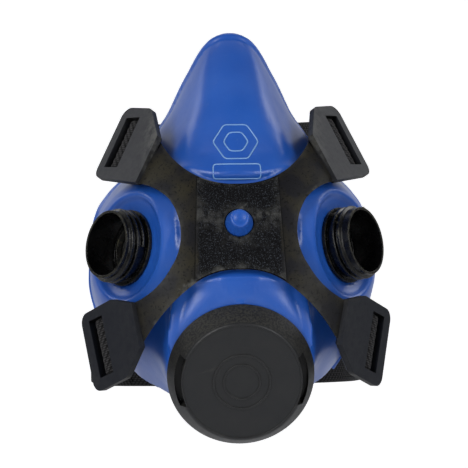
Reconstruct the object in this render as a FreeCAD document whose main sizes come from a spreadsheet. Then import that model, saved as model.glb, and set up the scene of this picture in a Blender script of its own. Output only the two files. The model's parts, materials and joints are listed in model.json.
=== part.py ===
import FreeCAD, Part
import Sketcher
import math
import os

from FreeCAD import Placement, Rotation, Vector

# Twin-filter half-mask respirator.  Front faces -Y, +X is the wearer's left, +Z is up.
# The origin is the centre of the face-seal plane.

SIZES = {
    # facepiece: an elastomer cup
    "cup_half_width": 54.0,
    "cup_top": 75.2,
    "cup_bottom": 64.5,
    "cup_waist": 16.0,          # how far below the origin the cup is widest
    "cup_wall": 3.0,
    "seal_lip_scale": 0.76,     # opening of the face seal, as a share of the outline
    "stud_base_radius": 4.85,
    "stud_top_radius": 3.1,
    "stud_rise": 5.0,
    "stud_level": 3.8,
    # yoke: a moulded sheet that carries the four strap pads
    "yoke_front": 69.0,
    "yoke_sheet": 2.4,
    "yoke_panel_half": 15.0,
    "yoke_shoulder_radius": 30.0,
    "yoke_shoulder_angle": 52.0,
    "yoke_wing": 26.0,
    "yoke_stud_hole": 5.2,
    "pad_thick": 3.0,
    "pad_corner": 4.0,
    "pad_back_bevel": 1.3,
    "pad_proud": 0.6,           # how far the pad's face stands in front of the slot's centre
    "slot_long": 21.0,
    "slot_wide": 8.0,
    "bar_wide": 3.0,
    "bar_thick": 1.2,
    "bar_recess": 1.8,
    # filter sockets
    "socket_bore": 11.4,
    "socket_root": 12.35,
    "socket_crest": 13.5,
    "socket_pitch": 2.4,
    "socket_turns": 2.2,
    "socket_rim": 1.0,
    "socket_barrel": 8.8,
    "socket_flange_radius": 13.9,
    "socket_flange": 1.2,
    "socket_neck": 12.6,
    "socket_depth": 21.5,
    "socket_ledge_depth": 12.5,
    "socket_ledge": 2.6,
    "socket_ledge_bore": 10.1,
    "port_wall": 3.2,
    "ring_nut_radius": 16.2,
    "ring_nut_height": 3.5,
    "spider_radius": 11.3,
    "spider_height": 2.0,
    "spider_port": 9.2,
    "spider_hub": 2.4,
    "spoke_wide": 1.6,
    "flap_radius": 10.4,
    "flap_thick": 0.7,
    "stem_radius": 0.9,
    "stem_button": 1.7,
    "flap_lift": 1.2,
    # exhalation valve
    "collar_radius": 25.8,
    "collar_bore": 19.5,
    "collar_length": 30.0,
    "seat_height": 5.0,
    "seat_depth": 8.0,
    "seat_port": 13.5,
    "seat_hub": 3.4,
    "vent_flap_radius": 15.8,
    "vent_flap_thick": 0.8,
    "cover_base_radius": 25.9,
    "cover_face_radius": 21.4,
    "cover_rise": 8.6,
    "cover_wall": 1.6,
    "cover_skirt": 19.3,
    "cover_gap": 0.12,
    "outlet_inner": 21.1,
    "outlet_outer": 23.4,
    "outlet_span": 48.0,        # degrees round the cover taken by each side outlet
    "relief_ring": 10.2,
    "relief_height": 0.35,
    "face_recess": 0.3,         # the face lies this far below its own rim
    # webbing harness
    "web_wide": 20.0,
    "web_thick": 1.2,
    "web_clear": 0.1,
    "loop_tail": 7.5,
    "head_half_width": 42.6,
    "head_run": 73.0,
    "neck_half_width": 53.2,
    "neck_run": 79.0,
    "clasp_tall": 27.0,
    "clasp_half": 14.5,
    "clasp_thick": 4.0,
    "clasp_tongue": 7.0,
}

# Places and directions of the right-hand side; the left side mirrors them in X.
SOCKET_MOUTH = Vector(46.9, -45.0, -3.2)
SOCKET_AXIS = Vector(0.785, -0.595, 0.170)
VENT_BASE = Vector(0.0, -61.0, -49.3)
VENT_TILT = 16.0
PANEL_LEAN = 20.0
UPPER_SLOT = Vector(40.4, -30.2, 33.7)
UPPER_NORMAL = Vector(0.688, -0.537, 0.489)
UPPER_ALONG = Vector(-0.447, 0.310, 0.894)
LOWER_SLOT = Vector(48.6, -48.5, -39.7)
LOWER_NORMAL = Vector(0.788, -0.616, 0.0)
LOWER_ALONG = Vector(0.171, 0.278, 0.985)

HEAD_START = Vector(0.0, -15.0, 33.7)
HEAD_TILT = 2.2
NECK_START = Vector(0.0, -32.0, -43.2)
NECK_TILT = -5.8

doc = FreeCAD.newDocument("respirator")
sheet = doc.addObject("Spreadsheet::Sheet", "dims")
for row, (name, number) in enumerate(SIZES.items(), start=1):
    sheet.set("A%d" % row, name)
    sheet.set("B%d" % row, str(number))
    sheet.setAlias("B%d" % row, name)
doc.recompute()


class Size:
    """A number worked out from the sheet, kept with the expression that gives it."""

    def __init__(self, text, number):
        self.text = text
        self.number = float(number)

    def joined(self, sign, other, number):
        other_text = other.text if isinstance(other, Size) else repr(other)
        return Size("(%s %s %s)" % (self.text, sign, other_text), number)

    def __add__(self, other):
        return self.joined("+", other, self.number + plain(other))

    def __sub__(self, other):
        return self.joined("-", other, self.number - plain(other))

    def __mul__(self, other):
        return self.joined("*", other, self.number * plain(other))

    def __truediv__(self, other):
        return self.joined("/", other, self.number / plain(other))

    def __neg__(self):
        return Size("(-1 * %s)" % self.text, -self.number)


def plain(amount):
    return amount.number if isinstance(amount, Size) else float(amount)


def dim(name):
    return Size("dims.%s" % name, sheet.get(name))


def mm(name):
    return float(sheet.get(name))


def bind(thing, prop, amount):
    setattr(thing, prop, plain(amount))
    if isinstance(amount, Size):
        thing.setExpression(prop, amount.text)


PARTS = []


def keep(thing, label, placement=None):
    """Names a finished sub-part and gives it its place."""
    thing.Label = label
    if placement is not None:
        thing.Placement = placement
    PARTS.append(thing)
    return thing


# ---------------------------------------------------------------- sketches and turned parts

def origin_part(body, role):
    """One of the body's own origin planes or axes."""
    return [item for item in body.Origin.OriginFeatures if item.Role == role][0]


def fix_coordinate(sketch, kind, line, vertex, amount):
    """Holds one coordinate of a vertex at a sheet size, measured from the origin."""
    if plain(amount) == 0.0:
        axis = -2 if kind == "DistanceX" else -1
        sketch.addConstraint(Sketcher.Constraint("PointOnObject", line, vertex, axis))
        return
    index = sketch.addConstraint(Sketcher.Constraint(kind, -1, 1, line, vertex, plain(amount)))
    if isinstance(amount, Size):
        sketch.setExpression("Constraints[%d]" % index, amount.text)


def outline_sketch(body, name, role, points):
    """A closed outline of straight lines whose corners are held at sheet sizes."""
    sketch = body.newObject("Sketcher::SketchObject", name)
    sketch.AttachmentSupport = [(origin_part(body, role), "")]
    sketch.MapMode = "FlatFace"
    corners = [Vector(plain(x), plain(y), 0) for x, y in points]
    count = len(corners)
    for index in range(count):
        sketch.addGeometry(Part.LineSegment(corners[index], corners[(index + 1) % count]), False)
    for index in range(count):
        sketch.addConstraint(Sketcher.Constraint("Coincident", index, 2, (index + 1) % count, 1))
    for index, (x, y) in enumerate(points):
        fix_coordinate(sketch, "DistanceX", index, 1, x)
        fix_coordinate(sketch, "DistanceY", index, 1, y)
    return sketch


def new_body(name):
    return doc.addObject("PartDesign::Body", name + "_body")


def turn(body, name, points, cut=False, sweep=360.0):
    """Turns a (radius, height) outline about the body's own Z axis."""
    sketch = outline_sketch(body, name + "_outline", "XZ_Plane", points)
    kind = "PartDesign::Groove" if cut else "PartDesign::Revolution"
    feature = body.newObject(kind, name)
    feature.Profile = sketch
    feature.ReferenceAxis = (sketch, ["V_Axis"])
    bind(feature, "Angle", sweep)
    feature.Midplane = plain(sweep) < 360
    return feature


def box_points(x_low, x_high, y_low, y_high):
    return [(x_low, y_low), (x_high, y_low), (x_high, y_high), (x_low, y_high)]


def polar(body, feature, count):
    pattern = body.newObject("PartDesign::PolarPattern", feature.Name + "_pattern")
    pattern.Originals = [feature]
    pattern.Axis = (origin_part(body, "Z_Axis"), [""])
    pattern.Angle = 360
    pattern.Occurrences = count
    body.Tip = pattern
    return pattern


def spoke(body, name, reach, low, high):
    """A radial bar from the hub to the rim."""
    half = dim("spoke_wide") / 2
    sketch = outline_sketch(body, name + "_outline", "XZ_Plane", box_points(0, reach, low, high))
    pad = body.newObject("PartDesign::Pad", name)
    pad.Profile = sketch
    bind(pad, "Length", half * 2)
    pad.Midplane = True
    return pad


def along_axis(point, direction):
    """A placement whose own +Z lies along the direction."""
    return Placement(point, Rotation(Vector(0, 0, 1), direction))


def mirrored(vector, side):
    return Vector(vector.x * side, vector.y, vector.z)


def at_side(side, depth=0.0):
    """Socket placement on one side, with its own origin a depth below the mouth."""
    axis = mirrored(SOCKET_AXIS, side).normalize()
    level = Vector(0, 0, 1) - axis * axis.z
    across = level.cross(axis)
    turn_to = Rotation(across.normalize(), level.normalize(), axis, "ZXY")
    return Placement(mirrored(SOCKET_MOUTH, side) - axis * depth, turn_to)


def vent_place(height=0.0):
    """Exhalation-valve placement, with its own origin a height above the cover's base."""
    turn_to = Rotation(Vector(1, 0, 0), 90 + VENT_TILT)
    return Placement(VENT_BASE + turn_to.multVec(Vector(0, 0, height)), turn_to)


# ---------------------------------------------------------------- filter sockets

def filter_socket(label, side):
    bore, neck, ledge = dim("socket_bore"), dim("socket_neck"), dim("socket_ledge_bore")
    root, flange = dim("socket_root"), dim("socket_flange_radius")
    barrel = -dim("socket_barrel")
    under = barrel - dim("socket_flange")
    ledge_top = -dim("socket_ledge_depth")
    ledge_low = ledge_top - dim("socket_ledge")
    body = new_body(label)
    turn(body, label + "_turned", [
        (bore, 0), (root, 0), (root, barrel), (flange, barrel), (flange, under), (neck, under),
        (neck, -dim("socket_depth")), (bore, -dim("socket_depth")), (bore, ledge_low),
        (ledge, ledge_low), (ledge, ledge_top), (bore, ledge_top)])
    crest, pitch = dim("socket_crest"), dim("socket_pitch")
    low = barrel + dim("socket_rim")
    inside = root - 0.4
    thread_sketch = outline_sketch(body, label + "_thread_outline", "XZ_Plane", [
        (inside, low), (crest, low + pitch * 0.26), (crest, low + pitch * 0.52),
        (inside, low + pitch * 0.78)])
    thread = body.newObject("PartDesign::AdditiveHelix", label + "_thread")
    thread.Profile = thread_sketch
    thread.ReferenceAxis = (thread_sketch, ["V_Axis"])
    thread.Mode = 0
    bind(thread, "Pitch", pitch)
    bind(thread, "Height", pitch * dim("socket_turns"))
    return keep(body, label, at_side(side))


def ring_nut(label, side):
    height = dim("ring_nut_height")
    body = new_body(label)
    turn(body, label + "_turned", box_points(dim("socket_neck") + 0.05, dim("ring_nut_radius"),
                                             -height, 0))
    notch_sketch = outline_sketch(body, label + "_notch_outline", "XY_Plane", box_points(
        dim("ring_nut_radius") - 1.2, dim("ring_nut_radius") + 1.0, -1.5, 1.5))
    notch = body.newObject("PartDesign::Pocket", label + "_notch")
    notch.Profile = notch_sketch
    notch.Type = 1
    notch.Midplane = True
    polar(body, notch, 8)
    depth = mm("socket_barrel") + mm("socket_flange") + mm("port_wall") + 0.05
    return keep(body, label, at_side(side, depth))


def valve_spider(label, side):
    """A three-spoke valve seat whose hub carries the flap's stem."""
    rim, port, hub = dim("spider_radius"), dim("spider_port"), dim("spider_hub")
    height = dim("spider_height")
    body = new_body(label)
    turn(body, label + "_rim", box_points(port, rim, -height, 0))
    turn(body, label + "_hub", box_points(0, hub, -height, 0))
    bar = spoke(body, label + "_spoke", port + 0.5, -height, -height * 0.25)
    polar(body, bar, 3)
    stem_hole = dim("stem_radius") + 0.1
    turn(body, label + "_stem_hole", box_points(0, stem_hole, -height * 2, height), cut=True)
    return keep(body, label, at_side(side, mm("socket_ledge_depth") + mm("socket_ledge")))


def inhalation_flap(label, side):
    """A thin disc with a stem and a snap button, lying on the spider's inner face."""
    stem, button, flap = dim("stem_radius"), dim("stem_button"), dim("flap_radius")
    thick, lift = dim("flap_thick"), dim("flap_lift")
    top = dim("spider_height") + lift + 0.15
    body = new_body(label)
    turn(body, label + "_turned", [
        (0, -thick), (flap, -thick), (flap, 0), (stem, 0), (stem, top), (button, top),
        (stem, top + 0.9), (0, top + 0.9)])
    depth = mm("socket_ledge_depth") + mm("socket_ledge") + mm("spider_height") + 0.03
    return keep(body, label, at_side(side, depth))


# ---------------------------------------------------------------- exhalation valve

def exhalation_seat():
    """Rigid seat pressed into the collar: rim, raised sealing lip, four spokes and a hub."""
    rim, port, hub = dim("collar_bore"), dim("seat_port"), dim("seat_hub")
    height, lip = dim("seat_height"), 1.2
    body = new_body("exhalation_seat")
    turn(body, "seat_rim", [
        (port, -height), (rim, -height), (rim, -lip), (port + 1.5, -lip), (port + 1.5, 0), (port, 0)])
    turn(body, "seat_hub_disc", box_points(0, hub, -height, -lip * 0.5))
    bar = spoke(body, "seat_spoke", port + 0.5, -height, -height * 0.5)
    polar(body, bar, 4)
    turn(body, "seat_stem_hole", box_points(0, dim("stem_radius") + 0.6, -height * 2, height),
         cut=True)
    return keep(body, "exhalation_seat", vent_place(mm("seat_height") - mm("seat_depth")))


def exhalation_flap():
    """Mushroom disc that lifts off the seat's lip; its stem holds it in the hub."""
    flap, thick, stem = dim("vent_flap_radius"), dim("vent_flap_thick"), dim("stem_radius") + 0.4
    low = -(dim("seat_height") + 1.8)
    body = new_body("exhalation_flap")
    turn(body, "vent_flap_turned", [
        (0, low - 1.4), (stem, low - 1.4), (stem + 0.9, low), (stem, low), (stem, 0), (flap, 0),
        (flap, thick), (0, thick)])
    lifted = mm("seat_height") - mm("seat_depth") + 0.03
    return keep(body, "exhalation_flap", vent_place(lifted))


def exhalation_cover():
    """Conical cap with a flat face, a clip skirt and two crescent outlets at its sides."""
    base, face, rise = dim("cover_base_radius"), dim("cover_face_radius"), dim("cover_rise")
    wall, skirt, gap = dim("cover_wall"), dim("cover_skirt"), dim("cover_gap")
    body = new_body("exhalation_cover")
    turn(body, "cover_shell", [
        (0, rise - wall), (face - wall * 1.6, rise - wall), (skirt - 1.0, 1.8), (skirt - 1.6, 1.8),
        (skirt - 1.6, -2.0), (skirt, -2.0), (skirt, gap), (base - 0.4, gap), (base, gap + 0.4),
        (base, gap + 1.0), (face + 0.4, rise - 0.5), (face - 0.3, rise), (0, rise)])
    face_height = rise - dim("face_recess")
    turn(body, "cover_recess", box_points(0, face - 0.8, face_height, rise + 1), cut=True)
    ring, relief = dim("relief_ring"), face_height + dim("relief_height")
    turn(body, "cover_ring", box_points(ring - 0.7, ring, rise - wall, relief))
    turn(body, "cover_inner_ring", box_points(ring - 4.2, ring - 3.6, rise - wall, relief))
    inner, outer, floor, ceiling = dim("outlet_inner"), dim("outlet_outer"), 1.9, rise - wall * 1.6
    outlet = turn(body, "outlet", [
        (skirt - 2.7, floor), (outer, floor), (outer, rise + 1), (inner, rise + 1),
        (inner, ceiling), (skirt - 2.7, ceiling)], cut=True, sweep=dim("outlet_span"))
    polar(body, outlet, 2)
    return keep(body, "exhalation_cover", vent_place())


# ---------------------------------------------------------------- facepiece

# The cup's outline: half of the closed curve, from the nose to the chin.
CUP_OUTLINE = [(0.0, 75.2), (8.6, 71.2), (16.9, 58.0), (25.3, 42.0), (38.4, 21.5), (46.8, 13.6),
               (50.0, 8.5), (54.0, -16.0), (51.8, -28.0), (37.6, -50.0), (22.4, -60.4), (0.0, -64.5)]
# How the outline shrinks towards the front: distance forward, half width, top, bottom.
CUP_STATIONS = [(-4.0, 54.0, 75.2, 64.5), (14.0, 53.5, 75.2, 64.0), (28.0, 48.0, 59.5, 60.0),
                (41.0, 38.5, 43.5, 53.0), (53.0, 27.0, 23.5, 45.0), (64.0, 14.0, -2.0, 35.0)]
# The rear edge in side view: height and how far it comes forward of the seal plane.
REAR_EDGE = [(95.0, 20.0), (76.0, 14.0), (48.0, 4.0), (15.0, 0.0), (-30.0, 0.0), (-50.0, 3.0),
             (-66.0, 10.0), (-85.0, 18.0)]


def closed_curve(points):
    curve = Part.BSplineCurve()
    curve.interpolate(Points=points, PeriodicFlag=True)
    return Part.Wire([curve.toShape()])


def cup_section(forward, half_width, top, bottom):
    waist = -mm("cup_waist")
    spread = half_width / mm("cup_half_width")
    rise = (top - waist) / (mm("cup_top") - waist)
    drop = (bottom + waist) / (mm("cup_bottom") + waist)

    def placed(x, z):
        stretch = rise if z > waist else drop
        return Vector(x * spread, -forward, waist + (z - waist) * stretch)

    right = [placed(x, z) for x, z in CUP_OUTLINE]
    left = [Vector(-point.x, point.y, point.z) for point in right[1:-1]]
    return closed_curve(right + left[::-1])


def cup_solid(inset):
    """The cup's outer form, or the same form drawn in by a wall."""
    wires = []
    for forward, half_width, top, bottom in CUP_STATIONS:
        wires.append(cup_section(forward - inset, half_width - inset, top - inset, bottom - inset))
    return Part.makeLoft(wires, True, False)


def behind_edge(shift):
    """Everything behind the rear edge, moved forward by a shift."""
    points = [Vector(0, -forward - shift, height) for height, forward in REAR_EDGE]
    curve = Part.BSplineCurve()
    curve.interpolate(points)
    far = 60.0
    back = [points[-1], Vector(0, far, points[-1].z), Vector(0, far, points[0].z), points[0]]
    edges = [curve.toShape()] + [Part.makeLine(back[i], back[i + 1]) for i in range(3)]
    block = Part.Face(Part.Wire(edges)).extrude(Vector(200, 0, 0))
    block.translate(Vector(-100, 0, 0))
    return block


def socket_boss(side):
    """The thickened port round a socket's neck, flat where the flange and the nut bear."""
    top = mm("socket_barrel") + mm("socket_flange")
    foot, crown, tall = mm("socket_flange_radius") + 9.0, mm("socket_flange_radius") + 4.5, 11.0
    boss = Part.makeCone(foot, crown, tall)
    boss.Placement = at_side(side, top + tall)
    return boss


def port_room(side):
    """Room behind a port for the ring nut."""
    room = Part.makeCylinder(mm("ring_nut_radius") + 1.2, 12)
    room.Placement = at_side(side, mm("socket_barrel") + mm("socket_flange") + mm("port_wall") + 12)
    return room


def port_hole(side):
    """The hole for the neck, and the open space that the flange turns in."""
    neck = Part.makeCylinder(mm("socket_neck"), 30)
    neck.Placement = at_side(side, mm("socket_depth") + 4)
    outside = Part.makeCylinder(mm("socket_flange_radius") + 0.6, 30)
    outside.Placement = at_side(side, mm("socket_barrel") + mm("socket_flange"))
    return neck.fuse(outside)


def collar():
    length = mm("collar_length")
    tube = Part.makeCylinder(mm("collar_radius"), length)
    tube.Placement = vent_place(-length)
    return tube


def collar_bore():
    bore = Part.makeCylinder(mm("collar_bore"), mm("collar_length") + 30)
    bore.Placement = vent_place(-mm("collar_length") - 20)
    return bore


def stud_place():
    level = mm("stud_level")
    return Vector(0, -yoke_y(level) - 1.0, level)


def stud():
    base = Part.makeCylinder(mm("stud_base_radius"), 8)
    cone = Part.makeCone(mm("stud_base_radius"), mm("stud_top_radius"), mm("stud_rise"))
    whole = base.fuse(cone.translated(Vector(0, 0, 8)))
    lean = Vector(0, -math.cos(math.radians(PANEL_LEAN)), math.sin(math.radians(PANEL_LEAN)))
    whole.Placement = along_axis(stud_place() - lean * 8, lean)
    return whole


# ---------------------------------------------------------------- yoke

# Side view of the yoke's front surface: height, and how far it lies behind the panel's lower edge.
YOKE_SIDE = [(-62.0, -2.3), (-44.0, -2.3), (-26.0, -2.3), (-12.0, 0.0), (0.0, 4.3), (14.0, 9.4),
             (24.0, 15.7), (38.0, 26.6), (54.0, 41.0)]


def yoke_y(level):
    """Distance of the yoke's front surface ahead of the seal plane, on the centre line."""
    for (low, near), (high, far) in zip(YOKE_SIDE, YOKE_SIDE[1:]):
        if low <= level <= high:
            return mm("yoke_front") - (near + (far - near) * (level - low) / (high - low))
    return mm("yoke_front")


def yoke_half_profile(grow):
    """Half of the sheet's plan view: flat panel, shoulder arc, straight wing."""
    radius = mm("yoke_shoulder_radius") - grow
    angle = math.radians(mm("yoke_shoulder_angle"))
    flat = mm("yoke_panel_half")
    middle = Vector(flat + radius * math.sin(angle / 2), grow + radius * (1 - math.cos(angle / 2)), 0)
    shoulder = Vector(flat + radius * math.sin(angle), grow + radius * (1 - math.cos(angle)), 0)
    wing = mm("yoke_wing")
    tip = shoulder + Vector(wing * math.cos(angle), wing * math.sin(angle), 0)
    return Vector(flat, grow, 0), middle, shoulder, tip


def yoke_section(level, behind, ahead, thick):
    """One level's closed band: front line, wing tips, back line."""
    def side_edges(grow, side):
        flat, middle, shoulder, tip = [Vector(p.x * side, p.y, 0) for p in yoke_half_profile(grow)]
        return [Part.Arc(flat, middle, shoulder).toShape(), Part.makeLine(shoulder, tip)], flat, tip

    front_right, front_flat, front_tip = side_edges(ahead, 1)
    front_left, front_flat_left, front_tip_left = side_edges(ahead, -1)
    back_right, back_flat, back_tip = side_edges(ahead + thick, 1)
    back_left, back_flat_left, back_tip_left = side_edges(ahead + thick, -1)
    edges = front_right + front_left + back_right + back_left
    edges += [Part.makeLine(front_flat, front_flat_left), Part.makeLine(back_flat, back_flat_left),
              Part.makeLine(front_tip, back_tip), Part.makeLine(front_tip_left, back_tip_left)]
    wire = Part.Wire(Part.__sortEdges__(edges))
    wire.translate(Vector(0, behind - mm("yoke_front"), level))
    return wire


def yoke_band(ahead, thick):
    """The curved sheet before it is cut to outline."""
    wires = [yoke_section(level, behind, ahead, thick) for level, behind in YOKE_SIDE]
    return Part.makeLoft(wires, True, False)


def arc_edge(start, through, end):
    return Part.Arc(*[Vector(x, 0, z) for x, z in (start, through, end)]).toShape()


def line_edge(start, end):
    return Part.makeLine(*[Vector(x, 0, z) for x, z in (start, end)])


def mirror_half(edges):
    """A closed face from the edges of its right half, whose ends lie on the centre line."""
    flipped = [edge.mirror(Vector(0, 0, 0), Vector(1, 0, 0)) for edge in edges]
    return Part.Face(Part.Wire(Part.__sortEdges__(edges + flipped)))


def yoke_outline():
    """Front view of the X-shaped sheet; its arms run on under the pads."""
    top, brow, arm_high = (0.0, 17.6), (18.0, 22.8), (27.9, 35.6)
    arm_low, cheek_high, cheek_low = (36.4, 18.4), (24.2, 12.4), (24.0, -11.5)
    jaw_high, jaw_low, fork, bottom = (36.8, -23.8), (34.8, -39.4), (16.0, -17.2), (0.0, -12.6)
    return mirror_half([
        arc_edge(top, (9.4, 18.7), brow), arc_edge(brow, (23.8, 28.4), arm_high),
        line_edge(arm_high, (30.6, 36.6)), line_edge((30.6, 36.6), (39.0, 20.2)),
        line_edge((39.0, 20.2), arm_low), arc_edge(arm_low, (29.8, 16.6), cheek_high),
        arc_edge(cheek_high, (20.4, 1.5), cheek_low), arc_edge(cheek_low, (29.0, -18.2), jaw_high),
        line_edge(jaw_high, (42.5, -27.0)), line_edge((42.5, -27.0), (41.5, -41.0)),
        line_edge((41.5, -41.0), jaw_low), arc_edge(jaw_low, (26.6, -27.0), fork),
        arc_edge(fork, (8.4, -13.5), bottom)])


def panel_outline():
    top, corner_top, corner_low, bottom = (0.0, 17.2), (14.2, 19.8), (15.8, -16.4), (0.0, -12.2)
    return mirror_half([arc_edge(top, (7.3, 17.9), corner_top), line_edge(corner_top, corner_low),
                        arc_edge(corner_low, (8.4, -13.1), bottom)])


def through_y(face):
    solid = face.extrude(Vector(0, 120, 0))
    solid.translate(Vector(0, -110, 0))
    return solid


def slot_place(centre, normal, along):
    """The wearer's right pad: X along the slot, Y towards the pad's outer edge, Z out of its face."""
    out = mirrored(normal, -1).normalize()
    run = mirrored(along, -1)
    run = (run - out * run.dot(out)).normalize()
    return Placement(mirrored(centre, -1), Rotation(run, out.cross(run), out, "ZXY"))


# Pad outlines about the slot's centre: (along the slot, towards the outer edge).
UPPER_PAD = [(15.2, 7.6), (14.2, -8.6), (2.2, -19.8), (-17.0, -19.2), (-14.6, 8.0)]
LOWER_PAD = [(13.8, 8.4), (14.2, -11.0), (9.6, -21.9), (-6.6, -21.4), (-14.4, -10.6), (-15.0, 9.0)]
# Corners that are rounded wide; the ones at the arm stay crisp.
UPPER_ROUND = (0, 1, 4)
LOWER_ROUND = (0, 1, 4, 5)


def pad_block(points, rounded):
    """The pad's plate about the slot's centre: chosen corners rounded, back edges bevelled."""
    face = Part.makePolygon([Vector(x, y, 0) for x, y in points + points[:1]])
    block = Part.Face(face).extrude(Vector(0, 0, -mm("pad_thick") - mm("pad_proud")))
    block.translate(Vector(0, 0, mm("pad_proud")))
    corners = [Vector(points[index][0], points[index][1], 0) for index in rounded]
    chosen = []
    for edge in block.Edges:
        first, last = [vertex.Point for vertex in edge.Vertexes]
        upright = abs(first.z - last.z) > 1
        foot = Vector(first.x, first.y, 0)
        if upright and any((corner - foot).Length < 0.01 for corner in corners):
            chosen.append(edge)
    block = block.makeFillet(mm("pad_corner"), chosen)
    back = [edge for edge in block.Edges if edge.BoundBox.ZMax < 0.01 - mm("pad_thick")]
    return block.makeChamfer(mm("pad_back_bevel"), back)


def box_about(x, y, z_low, z_high):
    return Part.makeBox(2 * x, 2 * y, z_high - z_low, Vector(-x, -y, z_low))


def both_sides(shape, place):
    """The shape put in place on the wearer's right, and its mirror image on the left."""
    right = shape.copy()
    right.Placement = place.multiply(shape.Placement)
    return [("right", right), ("left", right.mirror(Vector(0, 0, 0), Vector(1, 0, 0)))]


def strap_pad(outline, rounded):
    """The raised pad, its window, and the bar across the window, about the slot's centre."""
    thick = mm("pad_thick")
    block = pad_block(outline, rounded)
    window = box_about(mm("slot_long") / 2, mm("slot_wide") / 2, -thick - 12, 5)
    low = -mm("bar_recess") - mm("bar_thick")
    bar = box_about(mm("slot_long") / 2 + 0.5, mm("bar_wide") / 2, low, low + mm("bar_thick"))
    return block.cut(window).fuse(bar), window


SLOTS = (("upper", UPPER_PAD, UPPER_ROUND, slot_place(UPPER_SLOT, UPPER_NORMAL, UPPER_ALONG)),
         ("lower", LOWER_PAD, LOWER_ROUND, slot_place(LOWER_SLOT, LOWER_NORMAL, LOWER_ALONG)))


def yoke_shape():
    sheet_band = yoke_band(0.0, mm("yoke_sheet"))
    shape = sheet_band.common(through_y(yoke_outline()))
    raised = yoke_band(-0.6, mm("yoke_sheet")).common(through_y(panel_outline()))
    shape = shape.fuse(raised)
    for _, outline, rounded, place in SLOTS:
        pad, window = strap_pad(outline, rounded)
        for _, opening in both_sides(window, place):
            shape = shape.cut(opening)
        for _, raised_pad in both_sides(pad, place):
            shape = shape.fuse(raised_pad)
    hole = Part.makeCylinder(mm("yoke_stud_hole"), 30)
    lean = Vector(0, -math.cos(math.radians(PANEL_LEAN)), math.sin(math.radians(PANEL_LEAN)))
    hole.Placement = along_axis(stud_place() - lean * 15, lean)
    return shape.cut(hole).removeSplitter()


# ---------------------------------------------------------------- harness

def strap_place(start, tilt):
    return Placement(start, Rotation(Vector(1, 0, 0), tilt))


def webbing(body, name, half_width, run, side, end_x):
    """Flat webbing: back along one side, then round an arc that stops at end_x."""
    path = body.newObject("Sketcher::SketchObject", name + "_path")
    path.AttachmentSupport = [(origin_part(body, "XY_Plane"), "")]
    path.MapMode = "FlatFace"
    wide, long = plain(half_width) * side, plain(run)
    path.addGeometry(Part.LineSegment(Vector(wide, 0, 0), Vector(wide, long, 0)), False)
    stop = math.acos(end_x / abs(wide))
    start, end = (0.0, stop) if side > 0 else (math.pi - stop, math.pi)
    circle = Part.Circle(Vector(0, long, 0), Vector(0, 0, 1), abs(wide))
    path.addGeometry(Part.ArcOfCircle(circle, start, end), False)
    near, far = (1, 2) if side > 0 else (2, 1)
    path.addConstraint(Sketcher.Constraint("Coincident", 0, 2, 1, near))
    fix_coordinate(path, "DistanceX", 0, 1, half_width * side)
    fix_coordinate(path, "DistanceY", 0, 1, 0)
    fix_coordinate(path, "DistanceX", 0, 2, half_width * side)
    fix_coordinate(path, "DistanceY", 0, 2, run)
    fix_coordinate(path, "DistanceX", 1, 3, 0)
    fix_coordinate(path, "DistanceY", 1, 3, run)
    fix_coordinate(path, "DistanceX", 1, far, end_x * side)
    edge = half_width * side
    half, tall = dim("web_thick") / 2, dim("web_wide") / 2
    profile = outline_sketch(body, name + "_section", "XZ_Plane",
                             box_points(edge - half, edge + half, -tall, tall))
    pipe = body.newObject("PartDesign::AdditivePipe", name)
    pipe.Profile = profile
    pipe.Spine = (path, ["Edge1", "Edge2"])
    return pipe


def head_strap():
    """One U of elastic webbing that runs behind the head."""
    half_width, run = dim("head_half_width"), dim("head_run")
    body = new_body("head_strap")
    webbing(body, "head_web", half_width, run, 1, 0.0)
    half = body.newObject("PartDesign::Mirrored", "head_web_other_half")
    half.Originals = [body.Tip]
    half.MirrorPlane = (origin_part(body, "YZ_Plane"), [""])
    body.Tip = half
    return keep(body, "head_strap", strap_place(HEAD_START, HEAD_TILT))


def neck_strap(label, side):
    body = new_body(label)
    webbing(body, label + "_web", dim("neck_half_width"), dim("neck_run"), side,
            mm("clasp_half") + 0.6)
    return keep(body, label, strap_place(NECK_START, NECK_TILT))


def clasp_place():
    back = mm("neck_run") + math.sqrt(mm("neck_half_width") ** 2 - mm("clasp_half") ** 2)
    place = strap_place(NECK_START, NECK_TILT)
    return Placement(place.multVec(Vector(0, back, 0)), place.Rotation)


def clasp_half(label, side, tongue):
    """One half of the neck clasp: a frame with a webbing slot, and a tongue or its pocket."""
    tall, half, thick = dim("clasp_tall") / 2, dim("clasp_half"), dim("clasp_thick")
    reach = dim("clasp_tongue")
    body = new_body(label)

    def block(name, points, amount, cut=False):
        kind = "PartDesign::Pocket" if cut else "PartDesign::Pad"
        feature = body.newObject(kind, label + name)
        feature.Profile = outline_sketch(body, label + name + "_outline", "XZ_Plane", points)
        feature.Midplane = True
        bind(feature, "Length", amount)
        return feature

    near, far = sorted((side * 0.3, side * mm("clasp_half")))
    block("_frame", box_points(near, far, -tall, tall), thick)
    slot = sorted((side * (mm("clasp_half") - 5.6), side * (mm("clasp_half") - 2.6)))
    block("_slot", box_points(slot[0], slot[1], -tall + 2.8, tall - 2.8), thick * 2, cut=True)
    if tongue:
        block("_tongue", box_points(side * 0.5, reach * -side, tall * -0.45, tall * 0.45), thick * 0.4)
    else:
        block("_pocket", box_points(0, (reach + 0.3) * side, tall * -0.48, tall * 0.48), thick * 0.5,
              cut=True)
    return keep(body, label, clasp_place())


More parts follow.
